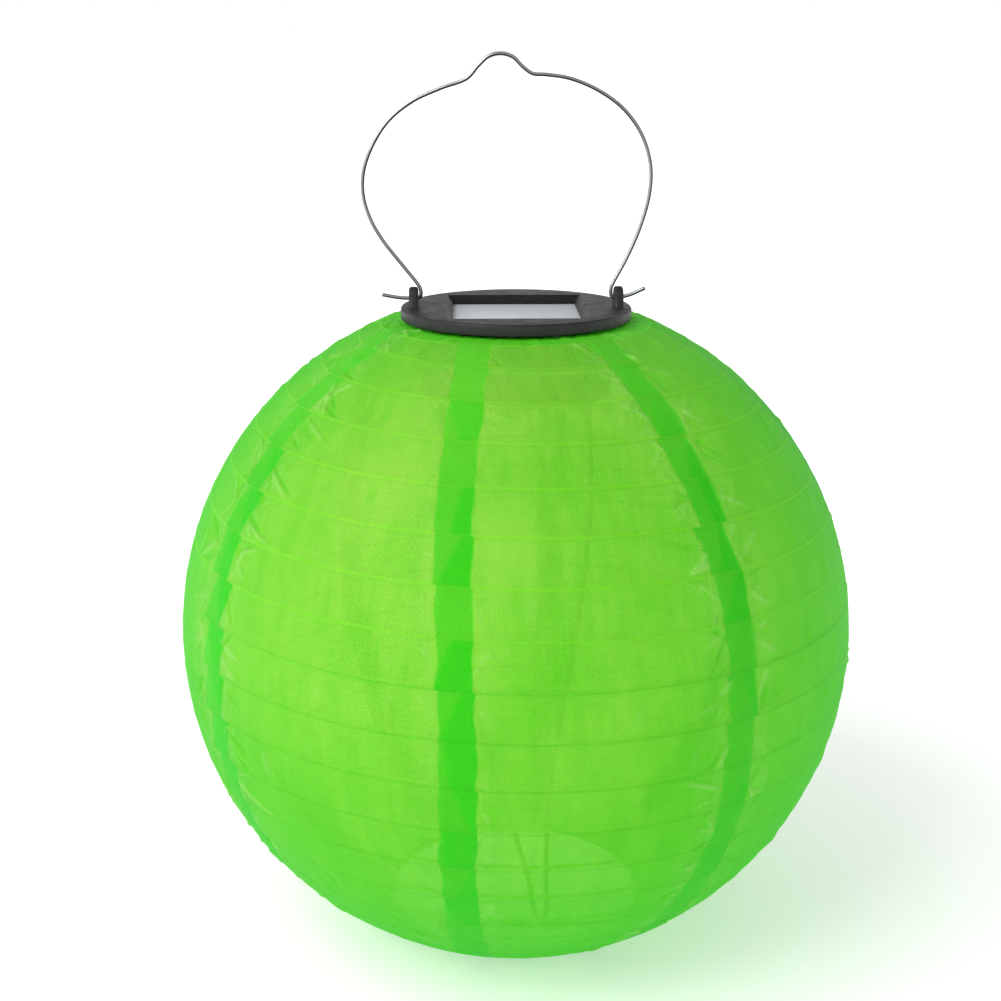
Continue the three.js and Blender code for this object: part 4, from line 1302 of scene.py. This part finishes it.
def make_light():
    flange_top = HOUSING_INSIDE_Z + 1.2
    tip, dome = HOUSING_FLOOR_Z - 5, 2.5
    profile = arc((0, tip + dome), dome, -90, 0, 16)
    profile[0] = (0, tip)
    profile += [(dome, flange_top - 1), (2.8, flange_top - 1), (2.9, flange_top - 0.9)]
    profile += [(2.9, flange_top - 0.1), (2.8, flange_top), (0, flange_top)]
    led = turned("led_bulb", profile, 48, (0, LIGHT_Y))
    finished(led, LED_RESIN, "head", "led")
    outer, wall, depth = 7.5, 1.2, 12
    top = HOUSING_FLOOR_Z - 0.3
    middle = top - depth + outer
    profile = arc((0, middle), outer, -90, 0, 24)
    profile[0] = (0, top - depth)
    profile += [(outer, top - 0.15), (outer - 0.15, top), (outer - wall + 0.1, top)]
    inner = arc((0, middle), outer - wall, 0, -90, 24)
    inner[-1] = (0, middle - outer + wall)
    profile += [(outer - wall, top - 0.1)] + inner
    lens = turned("led_dome", profile, 96, (0, LIGHT_Y))
    finished(lens, LENS, "head", "led_lens")


make_light()

# -------- battery, wiring and circuit

CONTACT_X = 23.4
BOARD_Z = CAP_TOP_Z - 14.2  # underside of the circuit board
BOARD_TOP_Z = BOARD_Z + 1.2
PANEL_BOARD_BOTTOM_Z = CAP_TOP_Z - 5.5

def make_battery():
    radius, half, nub = 5.25, 22.25, 1
    end = half - nub
    profile = [(0, -half + 0.15), (3.9, -half + 0.15), (4.1, -half + 0.05)]
    metal_rings = len(profile)
    profile += arc((radius - 0.5, -half + 0.5), 0.5, -90, 0, 4)
    profile += arc((radius - 0.5, end - 0.5), 0.5, 0, 90, 4)
    sleeve_rings = len(profile)
    profile += [(3.4, end - 0.15), (2.1, end - 0.1), (1.9, end)]
    profile += [(1.9, half - 0.2), (1.7, half), (0, half)]
    battery = turned("battery_cell", profile, 64)
    counts = [1 if ring_radius < AXIS_TOLERANCE else 64 for ring_radius, _ in profile]
    metal = [
        float(ring < metal_rings or ring >= sleeve_rings)
        for ring, count in enumerate(counts) for _ in range(count)]
    add_attribute(battery, "metal", metal)
    turn_mesh(battery, (0, math.pi / 2, 0))
    shift_mesh(battery, (-0.3, BATTERY_Y, BATTERY_Z))
    finished(battery, SLEEVE, "head", "battery")


def make_contacts():
    turns, start, end = 2.5, -25, -23.2
    path = []
    for i in range(61):
        along = i / 60
        angle = along * turns * 2 * math.pi
        coil_radius = 3.8 - 1.2 * along
        path.append((
            start + (end - start) * along, BATTERY_Y + coil_radius * math.cos(angle),
            BATTERY_Z + coil_radius * math.sin(angle)))
    spring = tube("battery_coil", path, 0.25, sides=10)
    finished(spring, CONTACT, "head", "battery_spring")
    blade = centred_block(
        "battery_blade", CONTACT_X, BATTERY_Y, 0.2, 4, BATTERY_Z - 4, BATTERY_Z + 7.5, 0.12)
    finished(blade, CONTACT, "head", "battery_contact")


def make_circuit():
    board = rounded_slab(
        "circuit_laminate", (32, 21), 0.8, (0, 14.5), BOARD_Z, BOARD_TOP_Z, 0.1)
    finished(board, BOARD_GREEN, "head", "circuit_board")
    low = BOARD_TOP_Z + 0.3
    legs = [
        centred_block("leg", x, y, 0.2, 0.7, low, low + 0.5, 0.1)
        for x in (-8.9, -7.63, -6.36, -5.1) for y in (11.2, 14.8)]
    package = block("package", (-9.5, 11.4, low + 0.1), (-4.5, 14.6, BOARD_TOP_Z + 1.8), 0.2)
    chip = joined("chip", [package, *legs])
    finished(chip, CHIP, "head", "controller_chip")
    profile = [(0, low), (2.6, low), (2.6, low + 0.6)]
    windings = 8
    for winding in range(windings):
        z = low + 0.7 + winding * 0.37
        profile += [(1.9, z), (2.1, z + 0.18)]
    profile += [(1.9, low + 3.66), (2.6, low + 3.7), (2.6, low + 4.3), (0, low + 4.3)]
    coil = turned("choke", profile, 48, (6, 11))
    finished(coil, LACQUER, "head", "inductor")
    lead_bottom = HOUSING_INSIDE_Z + 1.5
    for x, side in ((1.3, "anode"), (-1.3, "cathode")):
        lead = post(f"led_leg_{side}", 0.3, lead_bottom, BOARD_Z - 0.3, x, LIGHT_Y, 16)
        finished(lead, CONTACT, "head", f"led_lead_{side}")


def make_lead(name, points, material, node):
    lead = tube(name, catmull_rom(points, 10), 0.5, sides=12)
    finished(lead, material, "head", node)


def make_leads():
    for x, name, material in ((4, "red", RED_LEAD), (-4, "black", BLACK_LEAD)):
        make_lead(f"panel_wire_{name}", [
            (x, 19, BOARD_TOP_Z + 0.3), (x * 1.2, 19.6, BOARD_TOP_Z + 3),
            (x, 19, PANEL_BOARD_BOTTOM_Z - 0.3),
        ], material, f"panel_lead_{name}")
    make_lead("battery_wire_red", [
        (CONTACT_X, BATTERY_Y + 2, BATTERY_Z + 8.4), (22.5, -8, 224.5), (18, 0, 226),
        (14, 6, BOARD_TOP_Z + 0.9),
    ], RED_LEAD, "battery_lead_red")
    make_lead("battery_wire_black", [
        (-26, BATTERY_Y + 2, BATTERY_Z + 6.2), (-23.5, -7, 223), (-18.5, 0, 226),
        (-14, 6, BOARD_TOP_Z + 0.9),
    ], BLACK_LEAD, "battery_lead_black")


make_battery()
make_contacts()
make_circuit()
make_leads()

# -------- panel


def slab(name, node, corner_radius, edge):
    """A plate with round corners that fills a CAD node's box."""
    low, high = cad_box(node)
    size = (high.x - low.x, high.y - low.y)
    return rounded_slab(name, size, corner_radius, (0, 0), low.z, high.z, edge)


def make_panel():
    outer = slab("gasket_ring", "panel_gasket", 2, 0.25)
    low, high = cad_box("panel_gasket")
    inner = rounded_slab("opening", (38, 44), 1.5, (0, 0), low.z - 1, high.z + 1, 0)
    combine(outer, [inner], "DIFFERENCE")
    finished(outer, FOAM, "head", "panel_gasket")
    sheet = slab("panel_laminate", "solar_board", 0.6, 0.1)
    finished(sheet, BOARD_GREEN, "head", "solar_board")
    pane = slab("panel_pane", "solar_glaze", 0.5, 0.08)
    finished(pane, GLAZE, "head", "solar_glaze")
    for cell in range(1, 5):
        low, high = cad_box(f"solar_cell_{cell}")
        strip = block(f"cell_strip_{cell}", low, high, 0.06, 1)
        middle_x = (low.x + high.x) / 2
        bar = block(
            "bus_bar", (middle_x - 0.35, low.y + 0.6, high.z - 0.02),
            (middle_x + 0.35, high.y - 0.6, high.z + 0.03), 0)
        strip = joined(f"cell_strip_{cell}", [strip, bar])
        finished(strip, CELL, "head", f"solar_cell_{cell}")


make_panel()

# -------- soft pieces

# The cloth, the seam bands and the rib each get a mesh of their own.
for piece in (*GORES, *BANDS, RIB):
    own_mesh(piece)

# -------- floor and light


def make_floor():
    size = 60000
    floor = mesh_object("floor", [
        (-size, -size, -0.2), (size, -size, -0.2), (size, size, -0.2), (-size, size, -0.2),
    ], [(0, 1, 2, 3)], smooth=False)
    s = Shader("floor_white")
    tone = s.mottle(3, 2.0)
    distance = s.node("VectorMath", {0: s.position()}, operation="LENGTH").outputs["Value"]
    glow = s.ramp(distance, 0.08, 0.9, 0.34, 0.85)
    assign(floor, s.finish(s.principled(
        Base_Color=s.mix(tone, (0.90, 0.90, 0.90), (0.93, 0.93, 0.93)), Roughness=0.8,
        Specular_IOR_Level=0.2, Emission_Color=(1.0, 1.0, 1.0), Emission_Strength=glow)))


def make_key_light():
    data = bpy.data.lights.new("key", "AREA")
    data.shape = "RECTANGLE"
    data.size = data.size_y = 1.2
    data.energy = 18
    light = bpy.data.objects.new("key", data)
    light.location = Vector((-0.95, -0.7, 1.2))
    towards_globe = Vector((0, 0, 0.12)) - light.location
    light.rotation_euler = towards_globe.to_track_quat("-Z", "Y").to_euler()
    light.visible_camera = False
    bpy.context.scene.collection.objects.link(light)


def make_world():
    """A white surround, dimmer overhead than at the horizon."""
    world = bpy.data.worlds.new("studio")
    world.use_nodes = True
    tree = world.node_tree
    direction = tree.nodes.new("ShaderNodeTexCoord")
    split = tree.nodes.new("ShaderNodeSeparateXYZ")
    tree.links.new(direction.outputs["Generated"], split.inputs[0])
    fade = tree.nodes.new("ShaderNodeMapRange")
    fade.inputs["From Min"].default_value = 0.22
    fade.inputs["From Max"].default_value = 0.45
    fade.inputs["To Min"].default_value = 1.0
    fade.inputs["To Max"].default_value = 0.46
    tree.links.new(split.outputs[2], fade.inputs["Value"])
    tree.links.new(fade.outputs["Result"], tree.nodes["Background"].inputs["Strength"])
    tree.nodes["Background"].inputs["Color"].default_value = (1, 1, 1, 1)
    bpy.context.scene.world = world
    bpy.context.scene.view_settings.view_transform = "Standard"


make_floor()
make_key_light()
make_world()
